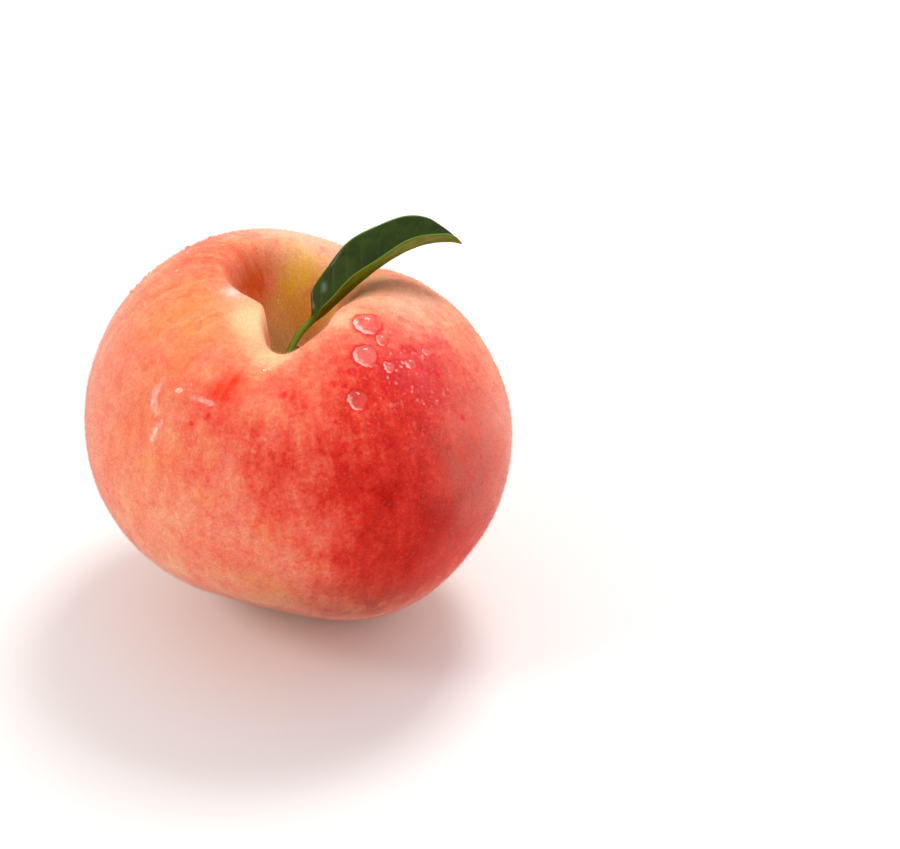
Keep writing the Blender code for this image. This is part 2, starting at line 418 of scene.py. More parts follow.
    def cells(self, place: Value, size: float) -> bpy.types.Node:
        """Adds a scatter of points.

        Args:
            place: Where it is asked for.
            size: Rough distance from point to point, in the units of place.

        Returns:
            The node.
        """
        made = self.node("ShaderNodeTexVoronoi", place)
        set_values(made, {"Scale": 1.0 / size})
        return made

    def scatter(self, place: Value, size: float) -> tuple[Socket, Socket, Socket]:
        """Adds a scatter of points, each with chances of its own.

        Args:
            place: Where it is asked for.
            size: Rough distance from point to point, in the units of place.

        Returns:
            The distance to the nearest point, and two chances of that point, from 0 to 1.
        """
        points = self.cells(place, size)
        chance = self.node("ShaderNodeSeparateColor", points.outputs["Color"])
        return points.outputs["Distance"], chance.outputs[0], chance.outputs[1]

    def ramp(self, value: Value, stops: tuple[tuple[float, Triple], ...]) -> Socket:
        """Returns a colour looked up on a ramp.

        Args:
            value: Where on the ramp, from 0 to 1.
            stops: Positions and their colours, in order.

        Returns:
            The colour.
        """
        made = self.node("ShaderNodeValToRGB", value)
        line = made.color_ramp.elements
        line[0].position, line[1].position = stops[0][0], stops[-1][0]
        for position, _ in stops[1:-1]:
            line.new(position)
        for element, (position, colour) in zip(line, stops):
            element.position = position
            element.color = (*colour, 1.0)
        return made.outputs["Color"]

    def bump(self, height: Value, strength: float, depth_mm: float) -> Socket:
        """Returns a normal that follows a height.

        Args:
            height: The height, from 0 to 1.
            strength: How much of the bump shows.
            depth_mm: Depth that the height stands for, in millimetres.

        Returns:
            The normal.
        """
        made = self.node("ShaderNodeBump")
        self.feed_all(made, {"Strength": strength, "Distance": depth_mm * MM, "Height": height})
        return made.outputs["Normal"]


def new_group(name: Group, outputs: dict[str, str]) -> tuple[Board, Socket, bpy.types.Node]:
    """Makes an empty node group that takes one number, Pale.

    Args:
        name: Name of the group.
        outputs: What comes out, with Blender's socket type.

    Returns:
        The board to lay its nodes on, the number that goes in, and the group's output node.
    """
    tree = bpy.data.node_groups.new(name.value, "ShaderNodeTree")
    tree.interface.new_socket(name="Pale", in_out="INPUT", socket_type="NodeSocketFloat")
    for key, kind in outputs.items():
        tree.interface.new_socket(name=key, in_out="OUTPUT", socket_type=kind)
    board = Board(tree)
    return board, board.node("NodeGroupInput").outputs["Pale"], board.node("NodeGroupOutput")


def place_group(board: Board, name: Group, pale: float) -> bpy.types.Node:
    """Places a group on a board.

    Args:
        board: The material's board.
        name: Which group.
        pale: How much paler than the skin its colour is here, from 0 to 1.

    Returns:
        The group's node.
    """
    made = board.node("ShaderNodeGroup", node_tree=bpy.data.node_groups[name.value])
    set_values(made, {"Pale": pale})
    return made


def new_material(name: str) -> tuple[bpy.types.Material, Board, bpy.types.Node]:
    """Makes a material.

    Args:
        name: Name of the material.

    Returns:
        The material, its board and its Principled shader.
    """
    material = bpy.data.materials.new(name)
    material.use_nodes = True
    return material, Board(material.node_tree), material.node_tree.nodes["Principled BSDF"]


# Colour of the skin


@dataclass(frozen=True)
class Patch:
    """A soft-edged patch of the skin.

    Attributes:
        name: What is there.
        place: Its middle on the part, in millimetres.
        reach: How far it spreads, in millimetres.
    """

    name: str
    place: Triple
    reach: float

    def mask(self, board: Board, places: tuple[Value, Value], strength: float) -> Socket:
        """Returns the patch as a mask.

        Args:
            board: The board to lay its nodes on.
            places: The place on the part, shifted a little for a small patch and far for a broad one.
            strength: The mask in its middle.

        Returns:
            The mask.
        """
        return board.hump(places[self.reach >= BROAD_REACH], self.place, self.reach, strength)


@dataclass(frozen=True)
class Zone(Patch):
    """A patch with its own blush.

    Attributes:
        level: Blush there, from 0 for bare ground colour to 1 for the deepest red.
        strength: How fully it covers what lies under it.
    """

    level: float
    strength: float = 1.0


@dataclass(frozen=True)
class Tint(Patch):
    """A patch whose hue leans to one colour.

    Attributes:
        colour: The colour.
        strength: How fully it covers what lies under it.
    """

    colour: Triple
    strength: float


@dataclass(frozen=True)
class Blotches:
    """Cloudy noise that breaks up the blush.

    Attributes:
        size: Size of a blotch, in millimetres.
        detail: How many finer layers it has.
        rough: How strong they are.
        depth: How much it changes the blush.
    """

    size: float
    detail: float
    rough: float
    depth: float


@dataclass(frozen=True)
class Hue:
    """Cloudy noise that leans the middle reds to one colour.

    Attributes:
        start: Where in the noise it starts, so that no two hues fall together.
        size: Size of its blotches, in millimetres.
        colour: The colour.
        strength: How fully it covers what lies under it.
    """

    start: Triple
    size: float
    colour: Triple
    strength: float


@dataclass(frozen=True)
class WetMark:
    """What a larger drop does to the skin under it, with a highlight painted at its far edge.

    Attributes:
        place: Its middle, in millimetres.
        reach: How far it spreads, in millimetres.
        strength: How dark the skin is round it.
        paleness: How pale the skin is under it.
    """

    place: Triple
    reach: float
    strength: float
    paleness: float

    def toward_light(self) -> Triple:
        """Returns a point a little nearer the light, so that the painted highlight falls on the far edge of the drop.
        """
        return (self.place[0] + 0.38 * self.reach, self.place[1] + 0.30 * self.reach, self.place[2])


@dataclass(frozen=True)
class Stroke:
    """A painted highlight: a short pale line where the edge of a film of water gathers the light.

    Attributes:
        start: One end, in millimetres.
        end: The other end.
        reach: Half its width, in millimetres.
        strength: How pale its middle is.
    """

    start: Triple
    end: Triple
    reach: float
    strength: float

    def away(self, board: Board, place: Value) -> Socket:
        """Returns the distance to the stroke's line, as a share of its reach.

        Args:
            board: The board to lay its nodes on.
            place: Where it is asked for.

        Returns:
            The distance, 1 at the stroke's edge.
        """
        run = Vector(self.end) - Vector(self.start)
        from_start = board.vector("SUBTRACT", place, self.start)
        share = board.rise(board.vector("DOT_PRODUCT", from_start, tuple(run / run.length_squared)), 0.0, 1.0)
        return board.apart(from_start, board.scaled(tuple(run), share), self.reach)


@dataclass(frozen=True)
class SkinColour:
    """Colour of the skin: ground colour and blush, mottled, streaked from stem to tip and specked.

    Attributes:
        group: The node group that it fills.
        bare_level: Blush where no zone reaches.
        ramp: Levels of blush and their colours.
        zones: Patches of blush, laid over one another in order.
        tints: Patches of hue, laid over one another in order; some are painted sheen, painted shade or painted
            highlights.
        blotches: Noise that breaks up the blush.
        streak_depth: How much a streak from stem to tip changes the blush.
        streaks_round: How fine the streaks are round the fruit.
        streaks_along: How fine they are along it.
        specks: Middle and reach of each red speck that has its place.
        scattered: Distance between the other specks, share of them left out, and their strength.
        beads_at: Middle of the patch of fine beads of water.
        beads_reach: How far it spreads.
        bead_sizes: Distances between the beads.
        hues: Noise that varies the hue of the middle reds.
        wet_marks: Marks of the larger drops.
        strokes: Highlights painted along the edges of the film of water.
        speck_colour: Red of the specks.
        wet_colour: Deeper red of wet skin.
        beaded_colour: The skin as it shows through a drop.
        gleam_colour: Colour of the highlights painted where water gathers the light.
        pale_colour: What the colour leans to with Pale, and the colour of the pores.
    """

    group: Group
    bare_level: float = 0.30
    ramp: tuple[tuple[float, Triple], ...] = (
        (0.00, (0.94, 0.61, 0.32)),
        (0.20, (0.94, 0.45, 0.25)),
        (0.40, (0.93, 0.27, 0.155)),
        (0.60, (0.90, 0.120, 0.070)),
        (0.80, (0.77, 0.034, 0.019)),
        (1.00, (0.55, 0.006, 0.003)),
    )
    zones: tuple[Zone, ...] = (
        Zone("left side", (-33.0, -16.0, 50.0), 30.0, 0.43),
        Zone("front", (-1.7, -36.0, 46.0), 24.0, 0.63),
        Zone("lower left front", (-22.0, -30.0, 30.0), 18.0, 0.35),
        Zone("sunny right front", (24.0, -29.0, 40.0), 25.0, 0.99),
        Zone("low in front", (-4.0, -38.0, 34.0), 9.0, 0.44, 0.75),
        Zone("right cheek", (17.0, -22.0, 60.0), 13.0, 0.86),
        Zone("right rim", (39.0, -4.0, 42.0), 14.0, 0.46),
        Zone("underside", (-6.0, -2.0, 0.0), 22.0, 0.22),
        Zone("back", (4.0, 40.0, 40.0), 34.0, 0.26),
        Zone("top left shoulder", (-17.0, 3.0, 70.0), 13.0, 0.50),
        Zone("far shoulder", (-2.0, 15.0, 68.0), 12.0, 0.30),
        Zone("right shoulder", (18.0, -2.0, 67.0), 11.0, 0.28),
        Zone("inside the cavity", (-3.0, 1.0, 60.0), 9.5, 0.06),
        Zone("front wall of the cavity", (-3.0, -12.5, 59.0), 5.5, 0.12),
        Zone("left lip", (-10.3, -12.0, 67.0), 5.0, 0.02),
        Zone("front lip", (-6.0, -18.0, 63.8), 4.2, 0.12),
        Zone("inner edge of the right lobe", (5.5, -12.5, 67.6), 4.0, 0.14, 0.9),
    )
    tints: tuple[Tint, ...] = (
        Tint("orange left shoulder", (-21.0, -12.0, 68.0), 12.0, (0.95, 0.28, 0.06), 0.60),
        Tint("orange left front", (-28.0, -24.0, 50.0), 8.0, (0.95, 0.30, 0.08), 0.40),
        # Painted sheen: the left rim paler and pinker, as the down catches the light there
        Tint("pink left rim", (-41.0, -6.0, 44.0), 14.0, (0.95, 0.36, 0.26), 0.70),
        Tint("pink lower left", (-27.0, -29.0, 34.0), 9.0, (0.95, 0.34, 0.22), 0.40),
        # Painted sheen: the far rim, the top of the right lobe and the right rim paler, as the down catches the light
        Tint("pale far rim", (-3.0, 20.0, 67.0), 9.0, (0.98, 0.60, 0.50), 0.85),
        Tint("pale right lobe", (18.5, -1.5, 66.3), 7.0, (0.97, 0.50, 0.38), 0.65),
        Tint("pale right rim", (37.0, -8.0, 46.0), 9.0, (0.95, 0.38, 0.30), 0.70),
        Tint("red by the fiery patch", (-16.5, -27.5, 59.8), 5.0, (0.88, 0.09, 0.06), 0.55),
        Tint("fiery patch", (-15.2, -26.5, 61.0), 2.3, (0.88, 0.020, 0.001), 0.95),
        Tint("far end of the fiery patch", (-13.2, -24.7, 62.6), 2.0, (0.90, 0.035, 0.001), 0.90),
        Tint("cream left lip", (-10.0, -12.0, 67.0), 4.2, (0.97, 0.69, 0.39), 0.75),
        Tint("pink among the drops", (19.0, -16.5, 62.8), 7.5, (0.78, 0.08, 0.13), 0.55),
        Tint("golden far wall", (-2.0, 10.0, 62.0), 7.0, (0.97, 0.61, 0.03), 0.97),
        Tint("golden right wall", (7.5, 1.0, 63.0), 5.0, (0.86, 0.52, 0.10), 0.85),
        # Painted shade in the stem cavity: its floor darker brown, its back wall a deeper orange darkened where shade
        # falls
        Tint("brown floor", (-5.2, 1.0, 54.8), 6.5, (0.21, 0.095, 0.008), 0.95),
        Tint("burnt back wall", (-10.6, 4.8, 65.6), 6.9, (0.62, 0.068, 0.001), 1.1),
        # Painted highlight on the rounded top of the left lip
        Tint("bright top of the left lip", (-13.3, -6.6, 70.3), 1.8, (1.0, 0.82, 0.70), 0.75),
        # Painted shade on the steep cavity wall under the left lip
        Tint("burnt edge of the left lip", (-7.4, -8.8, 61.2), 3.0, (0.52, 0.12, 0.006), 1.0),
        Tint("brown wall under the left lip", (-7.7, -10.6, 64.0), 2.1, (0.58, 0.17, 0.010), 0.9),
        Tint("shade under the leaf", (13.5, 6.0, 65.8), 4.0, (0.52, 0.20, 0.10), 0.60),
        Tint("ochre underside", (-7.0, -34.0, 22.0), 8.0, (0.62, 0.31, 0.13), 0.60),
        # Painted shade: darker red-brown low on the cheek, near the floor
        Tint("brown under the cheek", (9.0, -32.0, 19.0), 10.0, (0.36, 0.030, 0.008), 0.92),
        Tint("deep red low on the cheek", (19.0, -32.0, 30.0), 10.0, (0.52, 0.008, 0.001), 0.75),
        Tint("golden back", (4.0, 40.0, 40.0), 30.0, (0.86, 0.52, 0.14), 0.55),
        # Painted sheen: a greyish pink veil, the down's velvet sheen on the right cheek and lower right rim
        Tint("dusty bloom", (30.0, -19.0, 47.0), 11.0, (0.78, 0.24, 0.19), 0.58),
        Tint("dusty lower right rim", (30.0, -24.0, 36.0), 8.0, (0.78, 0.22, 0.17), 0.40),
    )
    blotches: tuple[Blotches, ...] = (
        Blotches(8.0, 3.0, 0.6, 0.44),
        Blotches(1.7, 4.0, 0.7, 0.30),
        Blotches(4.2, 3.0, 0.6, 0.28),
        Blotches(0.85, 2.0, 0.6, 0.20),
    )
    streak_depth: float = 0.42
    streaks_round: float = 13.0
    streaks_along: float = 0.11
    specks: tuple[tuple[Triple, float], ...] = (
        ((4.1, -26.2, 62.7), 1.0),
        ((4.4, -31.2, 57.8), 0.8),
        ((5.8, -33.5, 54.2), 0.9),
        ((-4.6, -28.0, 61.5), 1.0),
        ((16.9, -15.9, 64.1), 1.5),
        ((7.3, -23.9, 63.7), 1.2),
        ((6.0, -26.1, 62.4), 0.9),
        ((18.4, -15.3, 63.5), 1.1),
        ((-17.6, -28.8, 57.6), 1.0),
        ((-20.5, -28.6, 56.0), 0.8),
        ((22.6, -17.0, 60.0), 1.0),
        ((13.2, -24.6, 60.9), 1.1),
    )
    scattered: tuple[tuple[float, float, float], ...] = ((4.6, 0.62, 0.85), (2.1, 0.55, 0.5))
    beads_at: Triple = (16.5, -19.5, 62.0)
    beads_reach: float = 8.0
    bead_sizes: tuple[float, ...] = (2.1, 1.3)
    hues: tuple[Hue, ...] = (
        Hue((40.0, 7.0, 3.0), 5.5, (0.92, 0.22, 0.17), 0.34),
        Hue((11.0, 53.0, 29.0), 4.0, (0.94, 0.33, 0.09), 0.26),
        Hue((71.0, 19.0, 5.0), 2.4, (0.82, 0.08, 0.06), 0.30),
    )
    wet_marks: tuple[WetMark, ...] = ()
    strokes: tuple[Stroke, ...] = ()
    speck_colour: Triple = (0.80, 0.010, 0.022)
    wet_colour: Triple = (0.66, 0.016, 0.012)
    beaded_colour: Triple = (0.96, 0.36, 0.30)
    gleam_colour: Triple = (1.0, 0.80, 0.72)
    pale_colour: Triple = (1.0, 0.86, 0.76)


class SkinPainter:
    """Lays out the node group of the skin's colour, layer over layer."""

    def __init__(self, look: SkinColour) -> None:
        """Opens the group, which takes Pale and gives Colour, Blush and Grain.

        Args:
            look: The colours and where they are.
        """
        number = "NodeSocketFloat"
        outputs = {"Colour": "NodeSocketColor", "Blush": number, "Grain": number}
        self.look = look
        self.board, self.pale, self.result = new_group(look.group, outputs)
        board = self.board
        self.place = board.place()
        drift = board.drift(self.place, 11.0, 3.0, 13.0)
        # A small patch stays nearly where it is, and a broad one wanders
        self.places = tuple(board.vector("ADD", self.place, shift) for shift in (board.scaled(drift, 0.22), drift))
        self.streak = self._streaks()
        self.blush = self._mottled(self._zoned())
        self.colour: Value = board.ramp(self.blush, look.ramp)

    def build(self) -> None:
        """Lays every layer of colour on and joins the group's outputs."""
        self._tint()
        self._vary()
        if self.look.specks:
            self._speck()
            self._bead()
            self._prick_pores()
        if self.look.wet_marks:
            self._wet()
            self._paint_film_highlights()
        grain = self.board.cloud(self.place, 0.42, 3.0, 0.62)
        lit = self.board.node("ShaderNodeHueSaturation")
        self.board.feed_all(lit, {"Color": self.colour, "Value": self.board.rise(grain, 0.25, 0.75, 0.86, 1.13)})
        self.colour = lit.outputs["Color"]
        self._lay(self.pale, self.look.pale_colour)
        self.board.feed_all(self.result, {"Colour": self.colour, "Blush": self.blush, "Grain": grain})

    def _lay(self, share: Value, colour: Triple) -> None:
        """Lays so much of a colour over the colour so far."""
        self.colour = self.board.blend(share, self.colour, colour)

    def _uneven(self, size: float, reach: float) -> Socket:
        """Returns the place on the part, shifted a little so that no spot on it is quite round."""
        return self.board.vector("ADD", self.place, self.board.drift(self.place, size, 2.0, reach))

    def _zoned(self) -> Value:
        """Lays the zones over one another.

        Returns:
            The level of blush.
        """
        level: Value = self.look.bare_level
        for zone in self.look.zones:
            level = self.board.between(zone.mask(self.board, self.places, zone.strength), level, zone.level)
        return level

    def _streaks(self) -> Socket:
        """Makes streaks that run from the stem end to the tip, and fade in the cavity.

        Returns:
            The streaks, from 0 to 1.
        """
        board = self.board
        turned = board.node("ShaderNodeMapping", self.place, vector_type="TEXTURE")
        set_values(turned, {"Location": FRUIT_MIDDLE, "Rotation": (math.radians(LEAN_DEGREES), 0.0, 0.0)})
        stem = turned.outputs["Vector"]
        flat = board.vector("MULTIPLY", stem, (1.0, 1.0, 0.0))
        around = board.scaled(board.vector("NORMALIZE", flat), self.look.streaks_round)
        along = board.vector("MULTIPLY", stem, (0.0, 0.0, self.look.streaks_along))
        fine = board.noise(board.vector("ADD", around, along), 1.0, 4.0, 0.6)
        set_values(fine, {"Distortion": 0.35})
        in_cavity = board.rise(board.vector("DISTANCE", self.place, CAVITY_MIDDLE), 17.0, 10.0)
        return board.between(in_cavity, fine.outputs["Fac"], 0.5)

    def _mottled(self, blush: Value) -> Socket:
        """Breaks the blush up by blotches and streaks.

        Args:
            blush: The level that the zones give.

        Returns:
            The mottled level.
        """
        board, change = self.board, 0.0
        layers = [(board.cloud(self.place, one.size, one.detail, one.rough), one.depth) for one in self.look.blotches]
        for cloud, depth in [*layers, (self.streak, self.look.streak_depth)]:
            change = board.math("MULTIPLY_ADD", board.math("SUBTRACT", cloud, 0.5), depth, change)
        return board.math("MULTIPLY_ADD", change, board.rise(blush, 0.02, 0.35, 0.35, 1.0), blush)

    def _tint(self) -> None:
        """Lays the tints on, a little stronger along the streaks."""
        by_streak = self.board.rise(self.streak, 0.25, 0.7, 0.65, 1.15)
        for tint in self.look.tints:
            mask = tint.mask(self.board, self.places, tint.strength)
            self._lay(self.board.times(mask, by_streak), tint.colour)

    def _vary(self) -> None:
        """Varies the hue of the middle reds."""
        board = self.board
        middling = board.times(board.rise(self.blush, 0.1, 0.4), board.rise(self.blush, 0.72, 0.48))
        for hue in self.look.hues:
            cloud = board.cloud(board.vector("ADD", self.place, hue.start), hue.size, 3.0, 0.55)
            self._lay(board.times(board.rise(cloud, 0.50, 0.68, 0.0, hue.strength), middling), hue.colour)

    def _speck(self) -> None:
        """Lays on the red specks: those scattered in the blush, and those that have their place."""
        board = self.board
        for size, left_out, strength in self.look.scattered:
            distance, chance, other = board.scatter(self.place, size)
            near = board.math("DIVIDE", distance, board.math("MULTIPLY_ADD", other, 0.14, 0.10))
            mask = board.times(board.rise(near, 1.25, 0.55), board.math("GREATER_THAN", chance, left_out))
            mask = board.times(mask, board.rise(self.blush, 0.45, 0.85, 0.0, strength))
            self._lay(mask, self.look.speck_colour)
        uneven = self._uneven(1.3, 1.6)
        for spot, reach in self.look.specks:
            self._lay(board.rise(board.apart(uneven, spot, reach), 1.1, 0.3, 0.0, 0.75), self.look.speck_colour)

    def _bead(self) -> None:
        """Lays on fine beads of water, each a wet spot with a highlight painted at its side."""
        board, look = self.board, self.look
        uneven = self._uneven(1.3, 1.6)
        among = board.hump(self.place, look.beads_at, look.beads_reach, 0.9)
        for size in look.bead_sizes:
            distance, chance, other = board.scatter(uneven, size)
            near = board.math("DIVIDE", distance, board.math("MULTIPLY_ADD", other, 0.20, 0.26))
            mask = board.times(board.rise(near, 1.15, 0.6, 0.0, 0.6), among)
            self._lay(board.times(mask, board.math("GREATER_THAN", chance, 0.35)), look.wet_colour)
            # Painted highlight: a pale glint beside each bead
            aside = tuple(0.13 * size * part for part in (-1.0, -0.6, -0.8))
            distance, chance, _ = board.scatter(board.vector("SUBTRACT", uneven, aside), size)
            mask = board.times(board.rise(distance, 0.32, 0.08, 0.0, 0.60), among)
            self._lay(board.times(mask, board.math("GREATER_THAN", chance, 0.45)), look.gleam_colour)

    def _prick_pores(self) -> None:
        """Pricks faint pale pores all over."""
        distance = self.board.cells(self.place, 1.35).outputs["Distance"]
        self._lay(self.board.rise(distance, 0.22, 0.05, 0.0, 0.06), self.look.pale_colour)

    def _wet(self) -> None:
        """Lays on the marks of the drops: deeper red round a drop, paler in it, and a painted highlight at its far
        edge.
        """
        board, look = self.board, self.look
        damp = board.node("ShaderNodeAttribute", attribute_name=WET_ATTRIBUTE).outputs["Fac"]
        self._lay(board.times(damp, 0.45), look.wet_colour)
        uneven, faint = self._uneven(1.1, 1.5), self._faint()
        for mark in look.wet_marks:
            away = board.apart(uneven, mark.place, mark.reach)
            self._lay(board.rise(away, 1.45, 1.02, 0.0, 0.85 * mark.strength), look.wet_colour)
            inside = board.rise(away, 1.02, 0.70, 0.0, mark.paleness)
            self._lay(board.times(inside, faint), look.beaded_colour)
            # Painted highlight: a pale gleam on the drop's far edge
            lit = board.apart(uneven, mark.toward_light(), mark.reach)
            gleam = board.times(board.rise(lit, 0.90, 1.30), board.rise(away, 1.04, 0.86))
            self._lay(board.times(gleam, 0.6), look.gleam_colour)

    def _paint_film_highlights(self) -> None:
        """Paints highlights along the edges of the film of water."""
        uneven, faint = self._uneven(1.1, 1.5), self._faint()
        for stroke in self.look.strokes:
            mask = self.board.rise(stroke.away(self.board, uneven), 1.0, 0.0, 0.0, stroke.strength)
            self._lay(self.board.times(mask, faint), self.look.gleam_colour)

    def _faint(self) -> Socket:
        """Returns small clouds that break up what lies under water."""
        return self.board.rise(self.board.cloud(self.place, 1.6), 0.35, 0.6, 0.25, 1.0)


# Finishes


@dataclass(frozen=True)
class DownySkin:
    """Finish of the fruit: the coloured skin, matt, a little translucent, with a velvet sheen.

    Attributes:
        name: Name of the material.
    """

    name: str = "downy_skin"

    def material(self) -> bpy.types.Material:
        """Makes the material.

        Returns:
            The material.
        """
        material, board, shader = new_material(self.name)
        skin = place_group(board, Group.SKIN, 0.0)
        board.feed(shader.inputs["Base Color"], skin.outputs["Colour"])
        board.feed(shader.inputs["Roughness"], board.rise(skin.outputs["Blush"], 0.1, 0.9, 0.66, 0.54))
        board.feed(shader.inputs["Normal"], board.bump(skin.outputs["Grain"], 0.5, 0.12))
        shader.inputs["Subsurface Weight"].default_value = 0.12
        shader.inputs["Subsurface Radius"].default_value = (1.0, 0.30, 0.14)
        shader.inputs["Subsurface Scale"].default_value = 0.0016
        shader.inputs["Specular IOR Level"].default_value = 0.05
        shader.inputs["Sheen Weight"].default_value = 0.38
        shader.inputs["Sheen Roughness"].default_value = 0.30
        shader.inputs["Sheen Tint"].default_value = (1.0, 0.85, 0.80, 1.0)
        return material


@dataclass(frozen=True)
class Down:
    """Finish of the down: pale hairs that take most of the skin's colour.

    Attributes:
        name: Name of the material.
        pale: How much paler than the skin the hairs are, from 0 to 1.
    """

    name: str = "pale_down"
    pale: float = 0.18

    def material(self) -> bpy.types.Material:
        """Makes the material.

        Returns:
            The material.
        """
        material, board, shader = new_material(self.name)
        skin = place_group(board, Group.DOWN, self.pale)
        board.feed(shader.inputs["Base Color"], skin.outputs["Colour"])
        shader.inputs["Roughness"].default_value = 0.8
        shader.inputs["Specular IOR Level"].default_value = 0.1
        return material


@dataclass(frozen=True)
class Bark:
    """Finish of the stub: dark brown and fibrous, with paler strands.

    Attributes:
        name: Name of the material.
        dark: Colour between the strands.
        light: Colour of the strands.
    """

    name: str = "stalk_bark"
    dark: Triple = (0.030, 0.014, 0.006)
    light: Triple = (0.17, 0.085, 0.032)

    def material(self) -> bpy.types.Material:
        """Makes the material.

        Returns:
            The material.
        """
        material, board, shader = new_material(self.name)
        place = board.place()
        strand = board.cloud(board.vector("MULTIPLY", place, (1.0, 1.0, 0.22)), 0.32, 4.0, 0.65)
        patchy = board.rise(board.cloud(place, 1.3), 0.3, 0.7, 0.4, 1.0)
        share = board.times(board.rise(strand, 0.35, 0.68), patchy)
        board.feed(shader.inputs["Base Color"], board.blend(share, self.dark, self.light))
        board.feed(shader.inputs["Roughness"], board.rise(strand, 0.3, 0.7, 0.9, 0.72))
        board.feed(shader.inputs["Normal"], board.bump(strand, 0.8, 0.2))
        return material


@dataclass(frozen=True)
class LeafGreen:
    """Finish of the leaf: dark and glossy above, olive and duller below, with pale veins.

    The piece's own map runs along the leaf in V and round it in U: above from 0 to 0.5, below from 0.5 to 1.

    Attributes:
        name: Name of the material.
        above: Dark green of the upper face.
        above_light: Its lighter blotches.
        below: Olive of the lower face.
        below_dark: Its darker blotches.
        gloss_highlight: Pale highlight painted on the upper face near the foot of the blade.
        gloss_at: Middle of that painted highlight, in millimetres.
        vein: Colour of the veins and the midrib.
        rim: Colour of the margin.
        stem: Colour of the leafstalk.
    """

    name: str = "leaf_green"
    above: Triple = (0.016, 0.034, 0.002)
    above_light: Triple = (0.032, 0.062, 0.003)
    below: Triple = (0.190, 0.215, 0.003)
    below_dark: Triple = (0.110, 0.150, 0.002)
    gloss_highlight: Triple = (0.30, 0.38, 0.32)
    gloss_at: Triple = (2.7, 4.8, 65.8)
    vein: Triple = (0.090, 0.230, 0.012)
    rim: Triple = (0.160, 0.330, 0.025)
    stem: Triple = (0.150, 0.250, 0.016)

    def material(self) -> bpy.types.Material:
        """Makes the material.

        Returns:
            The material.
        """
        material, board, shader = new_material(self.name)
        here = board.node("ShaderNodeSeparateXYZ", board.node("ShaderNodeUVMap", uv_map="UVMap").outputs[0])
        around, along = here.outputs[0], here.outputs[1]
        under = board.rise(around, 0.495, 0.505)
        # Across the blade: -1 at the far margin, 0 on the midrib and 1 at the near margin
        saw = board.math("ABSOLUTE", board.math("SUBTRACT", around, 0.5))
        away = board.math("ABSOLUTE", board.math("MULTIPLY_ADD", saw, -4.0, 1.0))
        place = board.place()
        blotch, fine = board.cloud(place, 3.0, 3.0), board.cloud(place, 0.5, 3.0, 0.6)
        veins = self._veins(board, away, along)
        top = board.blend(board.rise(blotch, 0.35, 0.7), self.above, self.above_light)
        low = board.blend(board.rise(blotch, 0.3, 0.7), self.below, self.below_dark)
        colour = board.blend(under, top, low)
        # Painted highlight: a pale patch of gloss on the upper face near the foot of the blade
        spread = board.vector("MULTIPLY", board.vector("SUBTRACT", place, self.gloss_at), (1.5, 1.2, 0.55))
        highlight_patch = board.rise(board.vector("LENGTH", spread), 1.4, 0.1)
        for share, over in (
            (board.times(veins, 0.07), self.vein),
            (board.times(board.rise(away, 0.085, 0.035), 0.9), self.vein),
            (board.times(board.rise(away, 0.955, 0.99), 0.85), self.rim),
            (board.rise(along, LEAFSTALK_SHARE + 0.06, LEAFSTALK_SHARE - 0.02), self.stem),
            (board.rise(fine, 0.3, 0.75, 0.0, 0.22), self.above_light),
            (board.times(highlight_patch, board.rise(fine, 0.3, 0.65, 0.15, 0.45)), self.gloss_highlight),
        ):
            colour = board.blend(share, colour, over)
        board.feed(shader.inputs["Base Color"], colour)
        gloss = board.math("ADD", board.between(under, 0.42, 0.62), board.rise(blotch, 0.3, 0.7, -0.04, 0.06))
        board.feed(shader.inputs["Roughness"], gloss)
        height = board.math("MULTIPLY_ADD", veins, -0.6, board.times(fine, 0.35))
        board.feed(shader.inputs["Normal"], board.bump(height, 0.5, 0.12))
        board.feed(shader.inputs["Coat Weight"], board.between(under, 0.22, 0.0))
        shader.inputs["Coat Roughness"].default_value = 0.14
        shader.inputs["IOR"].default_value = 1.22
        shader.inputs["Specular Tint"].default_value = (1.0, 0.95, 0.60, 1.0)
        shader.inputs["Subsurface Weight"].default_value = 0.12
        shader.inputs["Subsurface Radius"].default_value = (0.5, 1.0, 0.2)
        shader.inputs["Subsurface Scale"].default_value = 0.0006
        return material

    def _veins(self, board: Board, away: Value, along: Value) -> Socket:
        """Makes the side veins, which run forward and bend to the tip.

        Args:
            board: The board to lay nodes on.
            away: Distance from the midrib, 1 at the margin.
            along: Share of the way along the leaf.

        Returns:
            A mask, 1 on a vein.
        """
        bend = board.times(board.math("POWER", away, 1.35), 0.11)
        phase = board.times(board.math("SUBTRACT", along, bend), VEIN_PAIRS * 2 * math.pi)
        wave = board.math("MULTIPLY_ADD", board.math("COSINE", phase), 0.5, 0.5)
        return board.times(board.math("POWER", wave, 22.0), board.rise(away, 0.97, 0.7))


@dataclass(frozen=True)
class Water:
    """Finish of the drops: clear water that lets the light through to the skin.

    Attributes:
        name: Name of the material.
    """

    name: str = "clear_water"

    def material(self) -> bpy.types.Material:
        """Makes the material.

        Returns:
            The material.
        """
        material, board, shader = new_material(self.name)
        shader.inputs["Base Color"].default_value = (1.0, 1.0, 1.0, 1.0)
        shader.inputs["IOR"].default_value = 1.333
        shader.inputs["Transmission Weight"].default_value = 1.0
        haze = board.cloud(board.place(), 1.1)
        board.feed(shader.inputs["Roughness"], board.rise(haze, 0.4, 0.8, 0.0, 0.06))
        clear = board.node("ShaderNodeBsdfTransparent", (0.97, 0.97, 0.97))
        light = board.node("ShaderNodeLightPath")
        both = board.node("ShaderNodeMixShader", light.outputs["Is Shadow Ray"], shader.outputs[0], clear.outputs[0])
        board.feed(material.node_tree.nodes["Material Output"].inputs["Surface"], both.outputs[0])
        return material


# Pieces


